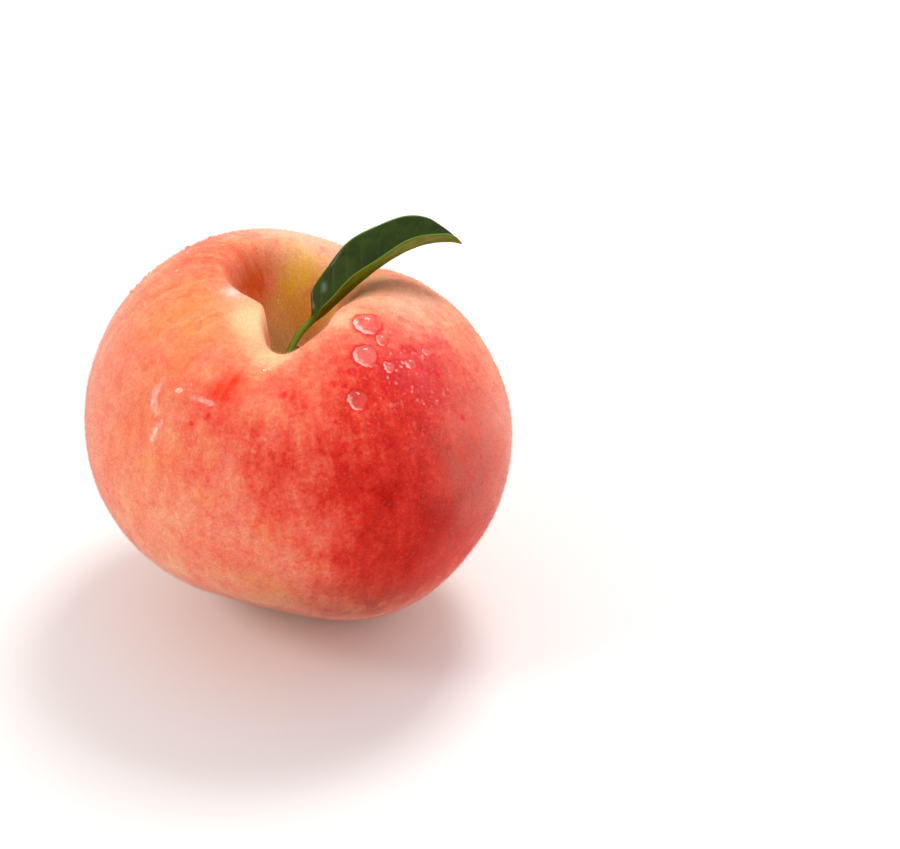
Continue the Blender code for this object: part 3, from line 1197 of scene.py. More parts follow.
@dataclass
class Fruit:
    """The fruit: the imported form, rounded off and given the slight swells of a real one.

    Attributes:
        swell_mm: Depth of the broad swells.
        ripple_mm: Depth of the small unevenness.
        still_below_mm: Height under which the skin stays as packed, to keep its flat spot.
        still_round_stub_mm: How far round the stub it stays as packed, and from where it is free.
        piece: The finished skin.
        skin: The skin as a surface to look points up on.
    """

    swell_mm: float = 0.55
    ripple_mm: float = 0.12
    still_below_mm: float = 3.0
    still_round_stub_mm: tuple[float, float] = (3.0, 7.0)
    piece: Optional[bpy.types.Object] = None
    skin: Optional[BVHTree] = None

    def build(self) -> bpy.types.Object:
        """Builds the skin.

        Returns:
            The skin.
        """
        self.piece = copy_of_node("fruit", "fruit_skin")
        apply_modifier(self.piece, "SUBSURF", levels=2, render_levels=2)
        self._hold_still()
        for name, size, depth_mm in (("swells", 0.013, self.swell_mm), ("ripples", 0.0030, self.ripple_mm)):
            displace(self.piece, name, size, 1, depth_mm, mid_level=0.5, vertex_group="free")
        self.piece.vertex_groups.clear()
        data = self.piece.data
        corners = [vertex.co.copy() for vertex in data.vertices]
        self.skin = BVHTree.FromPolygons(corners, [tuple(face.vertices) for face in data.polygons])
        return self.piece

    def _hold_still(self) -> None:
        """Weights the vertices: none at the flat spot and the socket, full elsewhere."""
        steps = 20
        places = places_of(self.piece) / MM
        free = smooth_step(0.2, self.still_below_mm, places[:, 2])
        from_stub = np.linalg.norm(places - np.array(STUB_FOOT), axis=1)
        free *= smooth_step(*self.still_round_stub_mm, from_stub)
        weights = self.piece.vertex_groups.new(name="free")
        for step in range(steps + 1):
            chosen = np.nonzero(np.round(free * steps).astype(int) == step)[0]
            weights.add(chosen.tolist(), step / steps, "REPLACE")

    def nearest(self, place: Vector) -> tuple[Vector, Vector]:
        """Returns the skin's nearest point to a place, and its outward direction there."""
        point, normal, _, _ = self.skin.find_nearest(place)
        return point, normal

    def dress(self) -> None:
        """Gives the skin its finish."""
        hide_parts("fruit")
        finish_piece(self.piece, DownySkin().material())


@dataclass
class DownCover:
    """The down: fine short hairs all over the skin, in a few pieces.

    Attributes:
        fruit: The fruit that it grows on.
        patches: How many pieces the hairs are shared out to.
        hairs_each: Hairs in one piece, four triangles each.
        bare_below_mm: Height under which no hair grows, where the fruit stands on the floor.
        cavity_mm: Reach of the stem cavity, where the down is thin.
        cavity_share: Share of the hairs that grow there.
        length_mm: Shortest and longest hair.
        length_power: How much the short hairs outnumber the long ones.
        width_mm: Width of a hair at its foot.
        width_spread: Thinnest and thickest hair, as shares of that width.
        root_mm: How deep the foot is in the skin.
        lean: How far the hairs lean to all sides.
        pieces: The finished pieces.
    """

    fruit: Fruit
    patches: int = 3
    hairs_each: int = 48000
    bare_below_mm: float = 1.0
    cavity_mm: float = 11.0
    cavity_share: float = 0.3
    length_mm: tuple[float, float] = (0.28, 0.65)
    length_power: float = 1.4
    width_mm: float = 0.034
    width_spread: tuple[float, float] = (0.75, 1.25)
    root_mm: float = 0.03
    lean: float = 0.42
    pieces: list[bpy.types.Object] = field(default_factory=list)

    def build(self, drops: "WaterDrops") -> list[bpy.types.Object]:
        """Builds the down, with none under the drops.

        Args:
            drops: The drops, which press the hairs under them flat.

        Returns:
            The pieces.
        """
        source = np.random.default_rng(Noise.DOWN.value)
        count = self.hairs_each // 1
        hair, faces = self._one_hair()
        for number in range(self.patches):
            feet, outward = self._scatter(source, count)
            keep = (feet[:, 2] > self.bare_below_mm * MM) & ~drops.covers(feet)
            from_cavity = np.linalg.norm(feet - np.array(CAVITY_MIDDLE) * MM, axis=1)
            keep &= (from_cavity >= self.cavity_mm * MM) | (source.random(count) < self.cavity_share)
            corners = self._grow(source, feet[keep], outward[keep], hair)
            self.pieces.append(self._patch(f"down_{number + 1}", corners, faces, len(hair)))
        return self.pieces

    def _one_hair(self) -> tuple[np.ndarray, np.ndarray]:
        """Models one hair, a thin closed spike of unit height.

        Returns:
            Its corners and its faces.
        """
        bpy.ops.object.select_all(action="DESELECT")
        bpy.ops.mesh.primitive_cone_add(vertices=3, radius1=0.5, radius2=0.0, depth=1.0, location=(0, 0, 0.5))
        spike = bpy.context.active_object
        with edit_mode(spike):
            bpy.ops.mesh.quads_convert_to_tris()
        bpy.ops.object.transform_apply(location=True, rotation=True, scale=True)
        corners = places_of(spike)
        faces = np.array([tuple(face.vertices) for face in spike.data.polygons])
        bpy.data.objects.remove(spike, do_unlink=True)
        return corners, faces

    def _scatter(self, source: np.random.Generator, count: int) -> tuple[np.ndarray, np.ndarray]:
        """Picks places all over the skin.

        Args:
            source: The random numbers.
            count: How many places.

        Returns:
            The places, and the outward direction at each.
        """
        data = self.fruit.piece.data
        data.calc_loop_triangles()
        corners = np.empty(len(data.loop_triangles) * 3, dtype=np.int64)
        data.loop_triangles.foreach_get("vertices", corners)
        triangles = places_of(self.fruit.piece)[corners.reshape(-1, 3)]
        cross = np.cross(triangles[:, 1] - triangles[:, 0], triangles[:, 2] - triangles[:, 0])
        area = np.linalg.norm(cross, axis=1)
        chosen = source.choice(len(area), size=count, p=area / area.sum())
        a, b = source.random(count), source.random(count)
        flip = a + b > 1.0
        a[flip], b[flip] = 1.0 - a[flip], 1.0 - b[flip]
        first, second, third = triangles[chosen].transpose(1, 0, 2)
        feet = first + a[:, None] * (second - first) + b[:, None] * (third - first)
        return feet, cross[chosen] / area[chosen, None]

    def _grow(
        self, source: np.random.Generator, feet: np.ndarray, outward: np.ndarray, hair: np.ndarray
    ) -> np.ndarray:
        """Sets a copy of the one hair on every foot.

        Args:
            source: The random numbers.
            feet: Where the hairs grow.
            outward: Outward direction at each foot.
            hair: Corners of the one hair.

        Returns:
            The corners of all the hairs.
        """
        count = len(feet)
        sway = source.normal(size=(count, 3))
        sway -= (sway * outward).sum(1)[:, None] * outward
        rise = outward + self.lean * sway
        rise /= np.linalg.norm(rise, axis=1)[:, None]
        side = np.cross(rise, source.normal(size=(count, 3)))
        side /= np.linalg.norm(side, axis=1)[:, None]
        (low, high), (thin, thick) = self.length_mm, self.width_spread
        length = (low + (high - low) * source.random(count) ** self.length_power) * MM
        width = self.width_mm * MM * (thin + (thick - thin) * source.random(count))
        corners = (feet - self.root_mm * MM * outward)[:, None, :]
        for part, size, way in zip(hair.T, (width, width, length), (side, np.cross(rise, side), rise)):
            corners = corners + (part[None, :] * size[:, None])[:, :, None] * way[:, None, :]
        return corners.reshape(-1, 3)

    def _patch(self, name: str, corners: np.ndarray, faces: np.ndarray, each: int) -> bpy.types.Object:
        """Makes one piece of down.

        Args:
            name: Name of the piece.
            corners: The corners of all its hairs.
            faces: The faces of the one hair.
            each: How many corners one hair has.

        Returns:
            The piece.
        """
        every = (faces[None] + np.arange(0, len(corners), each)[:, None, None]).reshape(-1, 3)
        data = bpy.data.meshes.new(name)
        data.vertices.add(len(corners))
        data.vertices.foreach_set("co", corners.ravel())
        data.loops.add(every.size)
        data.loops.foreach_set("vertex_index", every.ravel())
        data.polygons.add(len(every))
        data.polygons.foreach_set("loop_start", np.arange(0, every.size, 3))
        data.update(calc_edges=True)
        data.validate()
        return linked(name, data)

    def dress(self) -> None:
        """Gives the down its finish."""
        material = Down().material()
        for piece in self.pieces:
            piece.visible_shadow = False
            finish_piece(piece, material)


@dataclass
class Stub:
    """The stub of stalk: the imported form, rounded off and made fibrous.

    Attributes:
        fibre_mm: Depth of the fibres.
        piece: The finished stub.
    """

    fibre_mm: float = 0.10
    piece: Optional[bpy.types.Object] = None

    def build(self) -> bpy.types.Object:
        """Builds the stub.

        Returns:
            The stub.
        """
        self.piece = copy_of_node("stalk", "stalk_stub")
        apply_modifier(self.piece, "SUBSURF", levels=3, render_levels=3)
        displace(self.piece, "fibres", 0.00045, 2, self.fibre_mm, mid_level=0.6)
        return self.piece

    def dress(self) -> None:
        """Gives the stub its finish."""
        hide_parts("stalk")
        finish_piece(self.piece, Bark().material())


@dataclass
class Leaf:
    """The leaf: leafstalk, midrib and a blade folded up along it, as one skin closed round it.

    Attributes:
        leafstalk: Four control points of the leafstalk's curve, from the fruit's middle, in millimetres.
        midrib: Four control points of the midrib's curve.
        leafstalk_radius: Half the leafstalk's thickness.
        foot_swell: How much thicker the leafstalk is at its foot.
        foot_reach: Share of the leafstalk that this swelling takes.
        opening: Share of the blade over which it opens out of the leafstalk.
        half_width: The blade's widest reach to each side.
        base_power: How bluntly the blade widens from its foot.
        tip_power: How bluntly it narrows to its tip.
        thickness: Thickness of the blade.
        rib_height: How far the midrib stands out below.
        groove_depth: How deep its groove is above.
        rib_width: Half the width of both, as a share of the half blade.
        far_fold: How steeply the far half stands up, at its foot and at its tip, in degrees.
        near_fold: The same for the near half.
        fold_rounding: How softly the blade folds, as a share of the half blade.
        wave_height: Height of the waves of the margin.
        wave_count: Number of waves from foot to tip.
        tooth_height: Depth of the fine teeth of the margin.
        tooth_count: Number of teeth on a side.
        vein_depth: Depth of the side veins.
        steps_along: Points of the map along the leaf.
        steps_around: Points of the map round it.
        piece: The finished leaf.
    """

    leafstalk: tuple[Triple, ...] = ((-2.7, -7.6, 16.6), (-2.6, -7.5, 19.0), (-0.9, -3.0, 20.7), (1.4, -1.5, 22.2))
    midrib: tuple[Triple, ...] = ((1.4, -1.5, 22.2), (8.6, 1.7, 27.5), (19.5, 5.6, 39.5), (30.4, 11.2, 32.7))
    leafstalk_radius: float = 0.66
    foot_swell: float = 0.25
    foot_reach: float = 0.18
    opening: float = 0.14
    half_width: float = 7.0
    base_power: float = 0.69
    tip_power: float = 0.72
    thickness: float = 0.46
    rib_height: float = 0.75
    groove_depth: float = 0.22
    rib_width: float = 0.10
    far_fold: tuple[float, float] = (30.0, 54.0)
    near_fold: tuple[float, float] = (48.0, 43.0)
    fold_rounding: float = 0.07
    wave_height: float = 0.25
    wave_count: float = 3.2
    tooth_height: float = 0.16
    tooth_count: float = 58.0
    vein_depth: float = 0.035
    steps_along: int = 230
    steps_around: int = 96
    piece: Optional[bpy.types.Object] = None

    def build(self) -> bpy.types.Object:
        """Wraps a fine grid round the leaf's form.

        Returns:
            The leaf.
        """
        bpy.ops.object.select_all(action="DESELECT")
        bpy.ops.mesh.primitive_grid_add(
            x_subdivisions=self.steps_around, y_subdivisions=self.steps_along, size=1.0, calc_uvs=True
        )
        self.piece = rename(bpy.context.active_object, "leaf_blade")
        sheet = places_of(self.piece)
        set_places(self.piece, self._wrap(sheet[:, 0] + 0.5, sheet[:, 1] + 0.5))
        with edit_mode(self.piece):
            bpy.ops.mesh.remove_doubles(threshold=0.001 * MM)
            bpy.ops.mesh.select_all(action="DESELECT")
            bpy.ops.mesh.select_non_manifold(extend=False)
            bpy.ops.mesh.fill_holes(sides=0)
            bpy.ops.mesh.select_all(action="SELECT")
            bpy.ops.mesh.normals_make_consistent(inside=False)
        return self.piece

    def dress(self) -> None:
        """Gives the leaf its finish."""
        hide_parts("leaf")
        finish_piece(self.piece, LeafGreen().material())

    def _wrap(self, around: np.ndarray, along: np.ndarray) -> np.ndarray:
        """Places the map's points on the leaf.

        Args:
            around: Share of the way round each outline, from the far margin.
            along: Share of the way from the leafstalk's foot to the tip.

        Returns:
            The points, in metres.
        """
        points = np.zeros((len(around), 3))
        for step in np.unique(along):
            row = along == step
            points[row] = self._outline(around[row], float(step))
        return (points + np.array(FRUIT_MIDDLE)) * MM

    def _outline(self, around: np.ndarray, along: float) -> np.ndarray:
        """Places one outline across the leaf.

        Args:
            around: Share of the way round it, from the far margin.
            along: Share of the way from the leafstalk's foot to the tip.

        Returns:
            Its points, in millimetres from the fruit's middle.
        """
        share = np.where(around <= 0.5, 4 * around - 1, 3 - 4 * around)
        face = np.where(around <= 0.5, 1.0, -1.0)
        angle = np.pi * (1 - (share + 1) / 2) * face
        circle = self.leafstalk_radius * np.stack([np.cos(angle), np.sin(angle)], axis=-1)
        if along < LEAFSTALK_SHARE:
            t = along / LEAFSTALK_SHARE
            swollen = 1.0 + self.foot_swell * math.exp(-((t / self.foot_reach) ** 2))
            rounded = 0.8 if t < 0.02 else 1.0
            return self._across(self.leafstalk, t, circle * (swollen * rounded))
        t = (along - LEAFSTALK_SHARE) / (1 - LEAFSTALK_SHARE) * 0.995
        spread = float(smooth_step(0.0, self.opening, np.array(t)))
        section = (1 - spread) * circle + spread * self._blade(share, face, t)
        return self._across(self.midrib, t, section)

    def _blade(self, share: np.ndarray, face: np.ndarray, t: float) -> np.ndarray:
        """Shapes one outline of the folded blade.

        Args:
            share: Where across the blade each point is, from -1 to 1.
            face: 1 for a point of the upper face, -1 for one of the lower.
            t: Share of the way along the blade.

        Returns:
            Side and height of each point, in millimetres from the midrib.
        """
        dense = np.linspace(-1.0, 1.0, 401)
        far, near = (math.radians(low + (high - low) * t) for low, high in (self.far_fold, self.near_fold))
        fold = np.where(dense < 0, far, near)
        lift = (np.sqrt(dense**2 + self.fold_rounding**2) - self.fold_rounding) * np.sin(fold)
        wave = self.wave_height * dense**2 * np.sin(2 * np.pi * self.wave_count * t + 1.1 * np.sign(dense))
        tooth = abs(((t * self.tooth_count) % 1.0) - 0.35) * self.tooth_height
        width = self._width(t)
        reach = width * dense + np.sign(dense) * tooth * smooth_step(0.9, 1.0, np.abs(dense))
        side = reach * np.cos(fold)
        height = width * lift + wave * min(1.0, 4 * t, 6 * (1 - t))
        run, climb = np.gradient(side), np.gradient(height)
        size = np.hypot(run, climb)
        rib = np.where(face > 0, -self.groove_depth, self.rib_height) * (1 - 0.75 * t) * bell(share / self.rib_width)
        vein = self._veins(np.abs(share), t) * np.where(face > 0, -1.0, 1.0) * self.vein_depth
        thin_tip = 1 - 0.6 * float(smooth_step(0.85, 1.0, np.array(t)))
        edge = np.sqrt(np.clip(1 - np.abs(share) ** 14, 0, 1)) * thin_tip
        depth = (0.5 * self.thickness + rib + vein) * edge * face
        sides = np.interp(share, dense, side) - depth * np.interp(share, dense, climb / size)
        heights = np.interp(share, dense, height) + depth * np.interp(share, dense, run / size)
        return np.stack([sides, heights], axis=-1)

    def _width(self, t: float) -> float:
        """Tells how far the blade reaches to each side.

        Args:
            t: Share of the way along the blade.

        Returns:
            The reach, in millimetres.
        """
        peak = self.base_power / (self.base_power + self.tip_power)
        most = peak**self.base_power * (1 - peak) ** self.tip_power
        width = self.half_width * t**self.base_power * (1 - t) ** self.tip_power / most
        return max(width * min(1.0, (1 - t) / 0.16) ** 0.4, 0.12)

    def _veins(self, away: np.ndarray, t: float) -> np.ndarray:
        """Lays the side veins across one outline.

        Args:
            away: Distance of each point from the midrib, 1 at the margin.
            t: Share of the way along the blade.

        Returns:
            A mask, 1 on a vein.
        """
        along = LEAFSTALK_SHARE + t * (1 - LEAFSTALK_SHARE)
        phase = (along - 0.11 * away**1.35) * VEIN_PAIRS * 2 * np.pi
        return (0.5 + 0.5 * np.cos(phase)) ** 8 * (1 - smooth_step(0.7, 0.97, away))

    @staticmethod
    def _across(controls: tuple[Triple, ...], t: float, section: np.ndarray) -> np.ndarray:
        """Sets a flat outline square across a curve.

        Args:
            controls: Four control points of the curve.
            t: Share of the way along it.
            section: Side and height of each point of the outline.

        Returns:
            The points.
        """
        p = np.array(controls)
        middle = (1 - t) ** 3 * p[0] + 3 * (1 - t) ** 2 * t * p[1] + 3 * (1 - t) * t**2 * p[2] + t**3 * p[3]
        forward = (1 - t) ** 2 * (p[1] - p[0]) + 2 * (1 - t) * t * (p[2] - p[1]) + t**2 * (p[3] - p[2])
        side = np.cross(forward, (0.0, 0.0, 1.0))
        side /= np.linalg.norm(side)
        rise = np.cross(side, forward / np.linalg.norm(forward))
        return middle + section[:, :1] * side + section[:, 1:] * rise


@dataclass(frozen=True)
class Drop:
    """One drop of water. A film is a flat drop that leaves the skin's colour as it is.

    Attributes:
        place: Its middle, in millimetres.
        length: Its length.
        width: Its width.
        height: How far it stands up from the skin.
        turn: How far it is turned, in degrees.
        film: Whether it is a film.
        paleness: How pale the skin is under a large drop.
    """

    place: Triple
    length: float
    width: float
    height: float
    turn: float = 0.0
    film: bool = False
    paleness: float = 0.28

    def reach(self) -> float:
        """Returns half the drop's mean width, in millimetres."""
        return 0.25 * (self.length + self.width)


@dataclass(frozen=True)
class Spray:
    """Fine drops scattered about a spot.

    Attributes:
        place: Its middle, in millimetres.
        reach: How far it spreads.
        count: Number of drops that are tried.
        least: Length of the finest drop.
        more: How much longer the largest is.
        crowding: How closely they gather about the spot, as a share of the reach.
        fineness: How much the fine drops outnumber the others.
        flatness: A drop's height as a share of its length.
    """

    place: Triple
    reach: float
    count: int
    least: float
    more: float = 0.80
    crowding: float = 0.62
    fineness: float = 2.2
    flatness: float = 0.42


@dataclass
class WaterDrops:
    """Drops of water that sit on the skin: large ones placed one by one, and a fine spray between them.

    Attributes:
        fruit: The fruit that they sit on.
        large: The drops that are placed one by one.
        sprays: The fine drops.
        film_highlights: Highlights painted as pale lines along the edge of the film of water.
        segments: How finely a large, a middling, a small and a tiny drop are rounded.
        round_from_mm: Length above which a placed drop counts as large, and one of the spray as small.
        dome: How blunt the top of a drop is.
        foot: How deep its foot is, as a share of its height.
        sunk: How far it is sunk in the skin, as a share of its height.
        clear: Gap that a fine drop keeps from others, as a share of half its length.
        pressed: How far a drop presses the down flat, as a share of its reach.
        marked_from_mm: Length from which a drop leaves a mark in the skin's colour.
        taken: Middle and reach of each drop that is there, in metres.
        piece: All the drops.
    """

    fruit: Fruit
    large: tuple[Drop, ...] = (
        Drop((10.2, -13.5, 67.5), 5.6, 4.4, 1.80, 12.0),
        Drop((9.6, -20.5, 65.0), 4.1, 4.6, 1.85, 80.0),
        Drop((8.2, -27.7, 60.3), 3.6, 3.4, 1.60, paleness=0.1),
        Drop((13.8, -20.9, 63.1), 1.8, 2.4, 1.05, 70.0),
        Drop((12.6, -16.4, 65.9), 2.1, 2.4, 1.00, 30.0),
        Drop((17.7, -18.4, 62.3), 2.3, 1.9, 1.00, 20.0),
        Drop((20.9, -14.0, 62.4), 1.7, 2.0, 0.90, 60.0),
        Drop((22.7, -15.7, 60.2), 1.1, 1.1, 0.50),
        Drop((15.6, -13.5, 65.7), 1.4, 1.1, 0.50, 40.0),
        Drop((18.6, -11.6, 64.9), 0.9, 1.2, 0.42, 10.0),
        Drop((16.4, -21.3, 61.6), 0.9, 1.0, 0.42, 60.0),
        Drop((20.3, -17.6, 61.0), 0.95, 1.3, 0.46, 35.0),
        Drop((22.3, -18.8, 59.0), 0.9, 0.9, 0.40),
        Drop((18.9, -21.6, 59.6), 1.3, 0.8, 0.44, 80.0),
        Drop((24.2, -12.4, 60.4), 0.8, 1.2, 0.42, 50.0),
        Drop((7.3, -23.9, 63.7), 0.9, 0.9, 0.42),
        Drop((-22.3, 10.0, 70.6), 1.3, 1.1, 0.95, paleness=0.0),
        Drop((-18.2, 12.3, 71.6), 1.4, 1.0, 0.85, paleness=0.0),
        Drop((-12.6, 13.6, 72.3), 1.1, 1.1, 0.80, paleness=0.0),
        Drop((-32.5, 5.8, 63.6), 1.1, 1.3, 0.85, paleness=0.0),
        Drop((-29.2, 6.8, 66.8), 1.2, 1.2, 0.90, paleness=0.0),
        Drop((10.2, -26.7, 60.4), 0.8, 0.8, 0.40),
        Drop((14.7, -27.0, 57.7), 0.9, 0.9, 0.42),
        Drop((21.2, -23.3, 56.4), 1.0, 0.9, 0.42),
        Drop((17.3, -26.6, 56.3), 0.8, 0.8, 0.36),
        Drop((19.8, -26.8, 54.2), 1.0, 1.0, 0.42),
        Drop((18.0, -30.2, 51.4), 1.2, 1.2, 0.50),
        Drop((13.1, -30.9, 54.3), 0.8, 0.8, 0.34),
        Drop((30.5, -8.8, 55.6), 0.9, 0.9, 0.40),
        Drop((-14.8, -28.6, 59.2), 1.1, 0.9, 0.42, 15.0),
        Drop((-18.4, -27.9, 58.1), 0.8, 0.7, 0.36),
        Drop((-20.2, -27.9, 56.8), 0.7, 1.0, 0.36),
        Drop((-21.8, -29.3, 53.1), 1.2, 1.0, 0.45, 20.0),
        Drop((-15.1, -31.2, 55.6), 0.8, 0.9, 0.38),
        Drop((-24.0, -23.6, 58.9), 6.6, 8.2, 0.75, 75.0, film=True),
        Drop((-26.7, -25.5, 53.4), 1.0, 3.0, 0.55, -15.0, film=True),
        Drop((-8.3, -22.6, 63.8), 3.0, 2.4, 0.45, 10.0, film=True),
    )
    sprays: tuple[Spray, ...] = (
        Spray((18.3, -16.8, 62.0), 6.0, 75, 0.75),
        Spray((17.0, -19.0, 61.5), 8.0, 240, 0.32),
        Spray((19.0, -27.0, 54.0), 4.5, 45, 0.32),
        Spray((-19.0, -27.0, 57.0), 6.0, 60, 0.36),
        Spray((-27.0, 4.0, 62.0), 8.0, 34, 0.30),
        Spray((-17.0, 15.0, 68.0), 8.0, 26, 0.30),
        Spray((-24.0, -14.0, 63.0), 9.0, 30, 0.28),
    )
    film_highlights: tuple[Stroke, ...] = (
        Stroke((-25.3, -20.7, 60.7), (-26.6, -21.5, 58.7), 1.20, 0.28),
        Stroke((-26.6, -21.5, 58.7), (-27.1, -22.6, 56.9), 1.40, 0.42),
        Stroke((-27.1, -22.6, 56.9), (-26.7, -24.0, 55.5), 1.20, 0.36),
        Stroke((-26.0, -25.3, 54.7), (-26.9, -25.5, 53.0), 1.00, 0.70),
        Stroke((-26.9, -25.5, 53.0), (-27.6, -25.9, 51.2), 0.75, 0.50),
        Stroke((-20.6, -25.4, 59.6), (-18.8, -26.4, 59.6), 0.70, 0.28),
        Stroke((-18.8, -26.4, 59.6), (-16.7, -27.5, 59.4), 0.75, 0.42),
        Stroke((-9.4, -21.4, 63.9), (-7.0, -22.0, 63.4), 0.55, 0.30),
    )
    segments: tuple[int, ...] = (40, 20, 14, 8)
    round_from_mm: tuple[float, float] = (1.5, 0.7)
    dome: float = 0.85
    foot: float = 0.30
    sunk: float = 0.10
    clear: float = 1.2
    pressed: float = 1.1
    marked_from_mm: float = 1.7
    taken: list[tuple[Vector, float]] = field(default_factory=list)
    piece: Optional[bpy.types.Object] = None

    def build(self) -> bpy.types.Object:
        """Builds all the drops as one piece.

        Returns:
            The piece.
        """
        source = np.random.default_rng(Noise.DROPS.value)
        large, middling, small, tiny = self.segments
        large_from, small_from = self.round_from_mm
        parts = [self._shape(drop, large, source) for drop in self.large if drop.length > large_from]
        parts += [self._shape(drop, middling, source) for drop in self.large if drop.length <= large_from]
        for spray in self.sprays:
            for _ in range(spray.count):
                place = np.array(spray.place) + source.normal(size=3) * spray.reach * spray.crowding
                size = spray.least + spray.more * source.random() ** spray.fineness
                width = size * source.uniform(0.85, 1.1)
                drop = Drop(tuple(place), size, width, size * spray.flatness)
                if self._is_free(drop):
                    parts.append(self._shape(drop, small if size > small_from else tiny, source))
        bpy.ops.object.select_all(action="DESELECT")
        for part in parts:
            part.select_set(True)
        bpy.context.view_layer.objects.active = parts[0]
        bpy.ops.object.join()
        self.piece = rename(bpy.context.active_object, "water_drops")
        return self.piece

    def dress(self) -> None:
        """Gives the drops their finish."""
        finish_piece(self.piece, Water().material())

    def marks(self) -> tuple[WetMark, ...]:
        """Lists the marks that the larger drops leave on the skin.

        Returns:
            The marks.
        """
        return tuple(
            WetMark(drop.place, drop.reach(), min(1.0, 0.3 + 0.2 * drop.length), drop.paleness)
            for drop in self.large
            if not drop.film and drop.length >= self.marked_from_mm and drop.paleness > 0
        )

    def wet_the_skin(self) -> None:
        """Stores on the red side of the skin, corner by corner, how near a fine drop is."""
        finest_mm, dry_from, fade = 0.75, 1.75, 0.8
        places = places_of(self.fruit.piece)
        wet = np.zeros(len(places))
        for middle, reach in self.taken:
            if middle.x > 0 and reach < finest_mm * MM:
                away = np.linalg.norm(places - np.array(middle), axis=1) / reach
                wet = np.maximum(wet, np.clip((dry_from - away) / fade, 0.0, 1.0))
        attribute = self.fruit.piece.data.attributes.new(WET_ATTRIBUTE, "FLOAT", "POINT")
        attribute.data.foreach_set("value", wet.astype(np.float32))

    def covers(self, feet: np.ndarray) -> np.ndarray:
        """Tells which places lie under a drop.

        Args:
            feet: Places on the skin, in metres.

        Returns:
            One truth value for each place.
        """
        hidden = np.zeros(len(feet), dtype=bool)
        for middle, reach in self.taken:
            hidden |= np.linalg.norm(feet - np.array(middle), axis=1) < reach * self.pressed
        return hidden

    def _is_free(self, drop: Drop) -> bool:
        """Tells whether a drop would stand clear of those that are there already.

        Args:
            drop: The drop.

        Returns:
            Whether there is room for it.
        """
        point, _ = self.fruit.nearest(Vector(drop.place) * MM)
        size = 0.5 * drop.length * MM
        return all((point - middle).length > reach + size * self.clear for middle, reach in self.taken)

    def _shape(self, drop: Drop, segments: int, source: np.random.Generator) -> bpy.types.Object:
        """Shapes one drop on the skin from a round bead.

        Args:
            drop: The drop's sizes and place.
            segments: How finely it is rounded.
            source: The random numbers for its outline.

        Returns:
            The drop, its foot a little inside the skin.
        """
        middle, outward = self.fruit.nearest(Vector(drop.place) * MM)
        self.taken.append((middle, drop.reach() * MM))
        right = (Vector((1.0, 0.0, 0.0)) - outward * outward.x).normalized()
        turn = math.radians(drop.turn)
        first = right * math.cos(turn) + outward.cross(right) * math.sin(turn)
        second = outward.cross(first)
        bpy.ops.object.select_all(action="DESELECT")
        bpy.ops.mesh.primitive_uv_sphere_add(segments=segments, ring_count=max(segments // 2, 4), radius=1.0)
        bead = bpy.context.active_object
        unit = places_of(bead)
        phase = source.random(2) * 2 * np.pi
        bearing = np.arctan2(unit[:, 1], unit[:, 0])
        wobble = 1 + 0.08 * np.cos(2 * bearing + phase[0]) + 0.07 * np.cos(3 * bearing + phase[1])
        wobble += 0.03 * np.cos(5 * bearing + phase[0] + phase[1])
        # Above the skin the bead is a dome, and below it a shallow foot
        level = np.abs(unit[:, 2])
        height = np.where(unit[:, 2] > 0, level**self.dome, -self.foot * level) - self.sunk
        shaped = np.empty_like(unit)
        for number, (x, y) in enumerate(unit[:, :2] * wobble[:, None]):
            spot = middle + first * (0.5 * drop.length * x * MM) + second * (0.5 * drop.width * y * MM)
            on_skin, up = self.fruit.nearest(spot)
            shaped[number] = on_skin + up.lerp(outward, 0.5) * (height[number] * drop.height * MM)
        set_places(bead, shaped)
        return bead


# Room


@dataclass(frozen=True)
class Lamp:
    """One square soft light, aimed at the fruit.

    Attributes:
        name: Its name.
        place: Where it hangs, in metres.
        size: Width of its face, in metres.
        power: Its power, in watts.
        colour: Its colour.
    """

    name: str
    place: Triple
    size: float
    power: float
    colour: Triple

    def hang(self) -> None:
        """Hangs the light."""
        bpy.ops.object.light_add(type="AREA", location=self.place)
        lamp = bpy.context.active_object
        lamp.name = self.name
        lamp.data.shape = "SQUARE"
        lamp.data.size = self.size
        lamp.data.energy = self.power
        lamp.data.color = self.colour
        aim = Vector(FRUIT_MIDDLE) * MM - Vector(self.place)
        lamp.rotation_euler = aim.to_track_quat("-Z", "Y").to_euler()


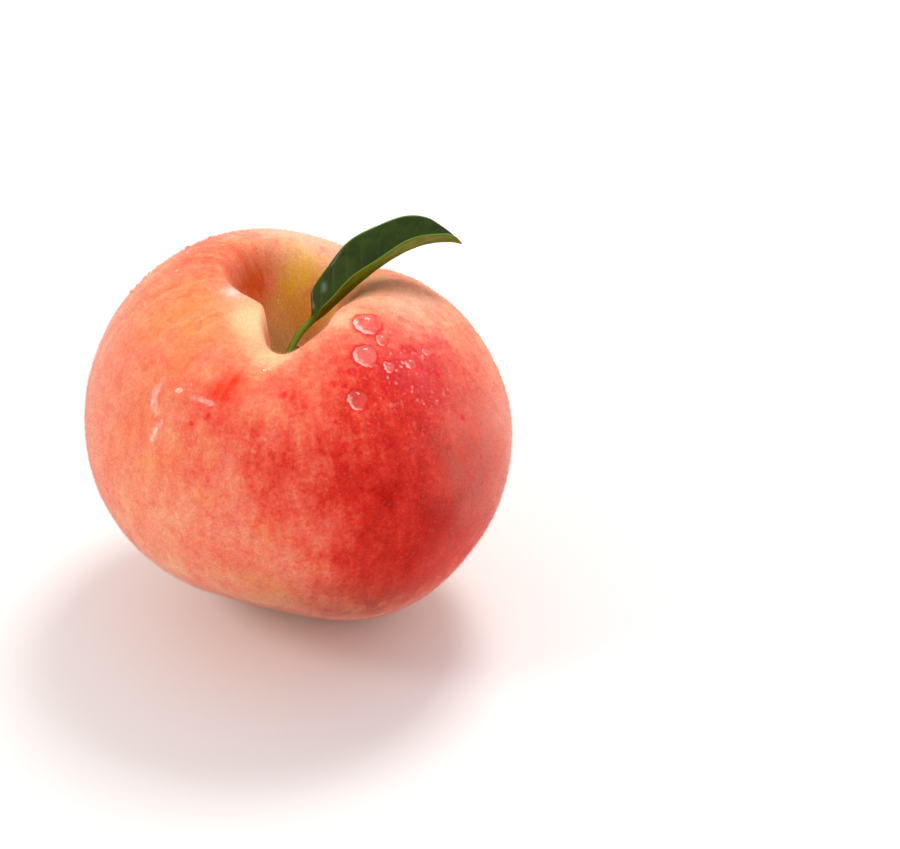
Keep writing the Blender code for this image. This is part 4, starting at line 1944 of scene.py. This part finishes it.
@dataclass
class Studio:
    """The pale floor, the soft lights and the camera.

    Attributes:
        distance_mm: From the fruit's middle to the camera.
        elevation: Height of the view above the horizon, in degrees.
        lens_mm: Focal length of the lens.
        middle_at: Where the fruit's middle falls in the picture, in pixels.
        picture: Width and height of the picture, in pixels.
        floor_size: Width of the floor, in metres.
        floor_colours: The two pale colours that the floor clouds between.
        floor_cloud: Size of those clouds, in metres.
        floor_roughness: How matt the floor is.
        room_colour: Colour of the room's own light.
        room_strength: How strong that light is.
        lamps: The soft lights.
    """

    distance_mm: float = 380.0
    elevation: float = 31.0
    lens_mm: float = 79.2
    middle_at: tuple[float, float] = (300.74, 422.59)
    picture: tuple[float, float] = (900.0, 849.0)
    floor_size: float = 6.0
    floor_colours: tuple[Triple, Triple] = ((0.865, 0.86, 0.865), (0.885, 0.885, 0.89))
    floor_cloud: float = 0.4
    floor_roughness: float = 0.55
    room_colour: Triple = (1.0, 0.995, 0.99)
    room_strength: float = 0.775
    lamps: tuple[Lamp, ...] = (
        Lamp("overhead_softbox", (0.14, 0.26, 0.60), 0.20, 2.08, (1.0, 0.985, 0.96)),
        Lamp("left_window", (-0.42, -0.16, 0.42), 0.14, 0.78, (1.0, 0.97, 0.94)),
    )

    def build(self) -> None:
        """Builds the room round the fruit."""
        self._floor()
        self._light()
        self._camera()
        bpy.context.scene.view_settings.view_transform = "Standard"

    def _floor(self) -> None:
        """Lays a wide pale floor."""
        bpy.ops.object.select_all(action="DESELECT")
        bpy.ops.mesh.primitive_plane_add(size=self.floor_size, location=(0, 0, 0))
        floor = bpy.context.active_object
        floor.name = "pale_floor"
        material, board, shader = new_material("pale_floor")
        cloud = board.cloud(board.node("ShaderNodeTexCoord").outputs["Object"], self.floor_cloud)
        board.feed(shader.inputs["Base Color"], board.blend(cloud, *self.floor_colours))
        shader.inputs["Roughness"].default_value = self.floor_roughness
        floor.data.materials.append(material)

    def _light(self) -> None:
        """Sets the room's own pale light and hangs the lamps."""
        world = bpy.context.scene.world or bpy.data.worlds.new("room")
        bpy.context.scene.world = world
        world.use_nodes = True
        background = world.node_tree.nodes["Background"]
        set_values(background, {"Color": (*self.room_colour, 1.0), "Strength": self.room_strength})
        for lamp in self.lamps:
            lamp.hang()

    def _camera(self) -> None:
        """Sets the camera where the photograph was taken from, turned so that the fruit falls where it does there."""
        tilt = math.radians(self.elevation)
        back = Vector((0.0, -math.cos(tilt), math.sin(tilt)))
        up = Vector((0.0, math.sin(tilt), math.cos(tilt)))
        pixel = self.distance_mm / (self.lens_mm / SENSOR_MM * self.picture[0])
        across = (self.picture[0] / 2 - self.middle_at[0]) * pixel
        down = (self.picture[1] / 2 - self.middle_at[1]) * pixel
        middle = Vector(FRUIT_MIDDLE)
        eye = (middle + back * self.distance_mm) * MM
        target = (middle + Vector((across, 0.0, 0.0)) - up * down) * MM
        behind = (eye - target).normalized()
        right = up.cross(behind).normalized()
        turn = Matrix((right, behind.cross(right), behind)).transposed()
        bpy.ops.object.camera_add(location=eye, rotation=turn.to_euler())
        camera = bpy.context.active_object
        camera.name = "view"
        camera.data.lens = self.lens_mm
        camera.data.sensor_width = SENSOR_MM
        camera.data.clip_start, camera.data.clip_end = 0.01, 20.0
        bpy.context.scene.camera = camera


def main() -> None:
    """Builds and dresses the pieces in order, then the room."""
    logging.basicConfig(level=logging.INFO, format="%(name)s %(message)s")
    fruit = Fruit()
    drops = WaterDrops(fruit)
    for look in (
        SkinColour(Group.SKIN, wet_marks=drops.marks(), strokes=drops.film_highlights),
        SkinColour(Group.DOWN, specks=(), hues=()),
    ):
        SkinPainter(look).build()
    fruit.build()
    fruit.dress()
    drops.build()
    drops.wet_the_skin()
    drops.dress()
    down = DownCover(fruit)
    down.build(drops)
    down.dress()
    for piece in (Stub(), Leaf()):
        piece.build()
        piece.dress()
    Studio().build()


if __name__ == "__main__":
    main()
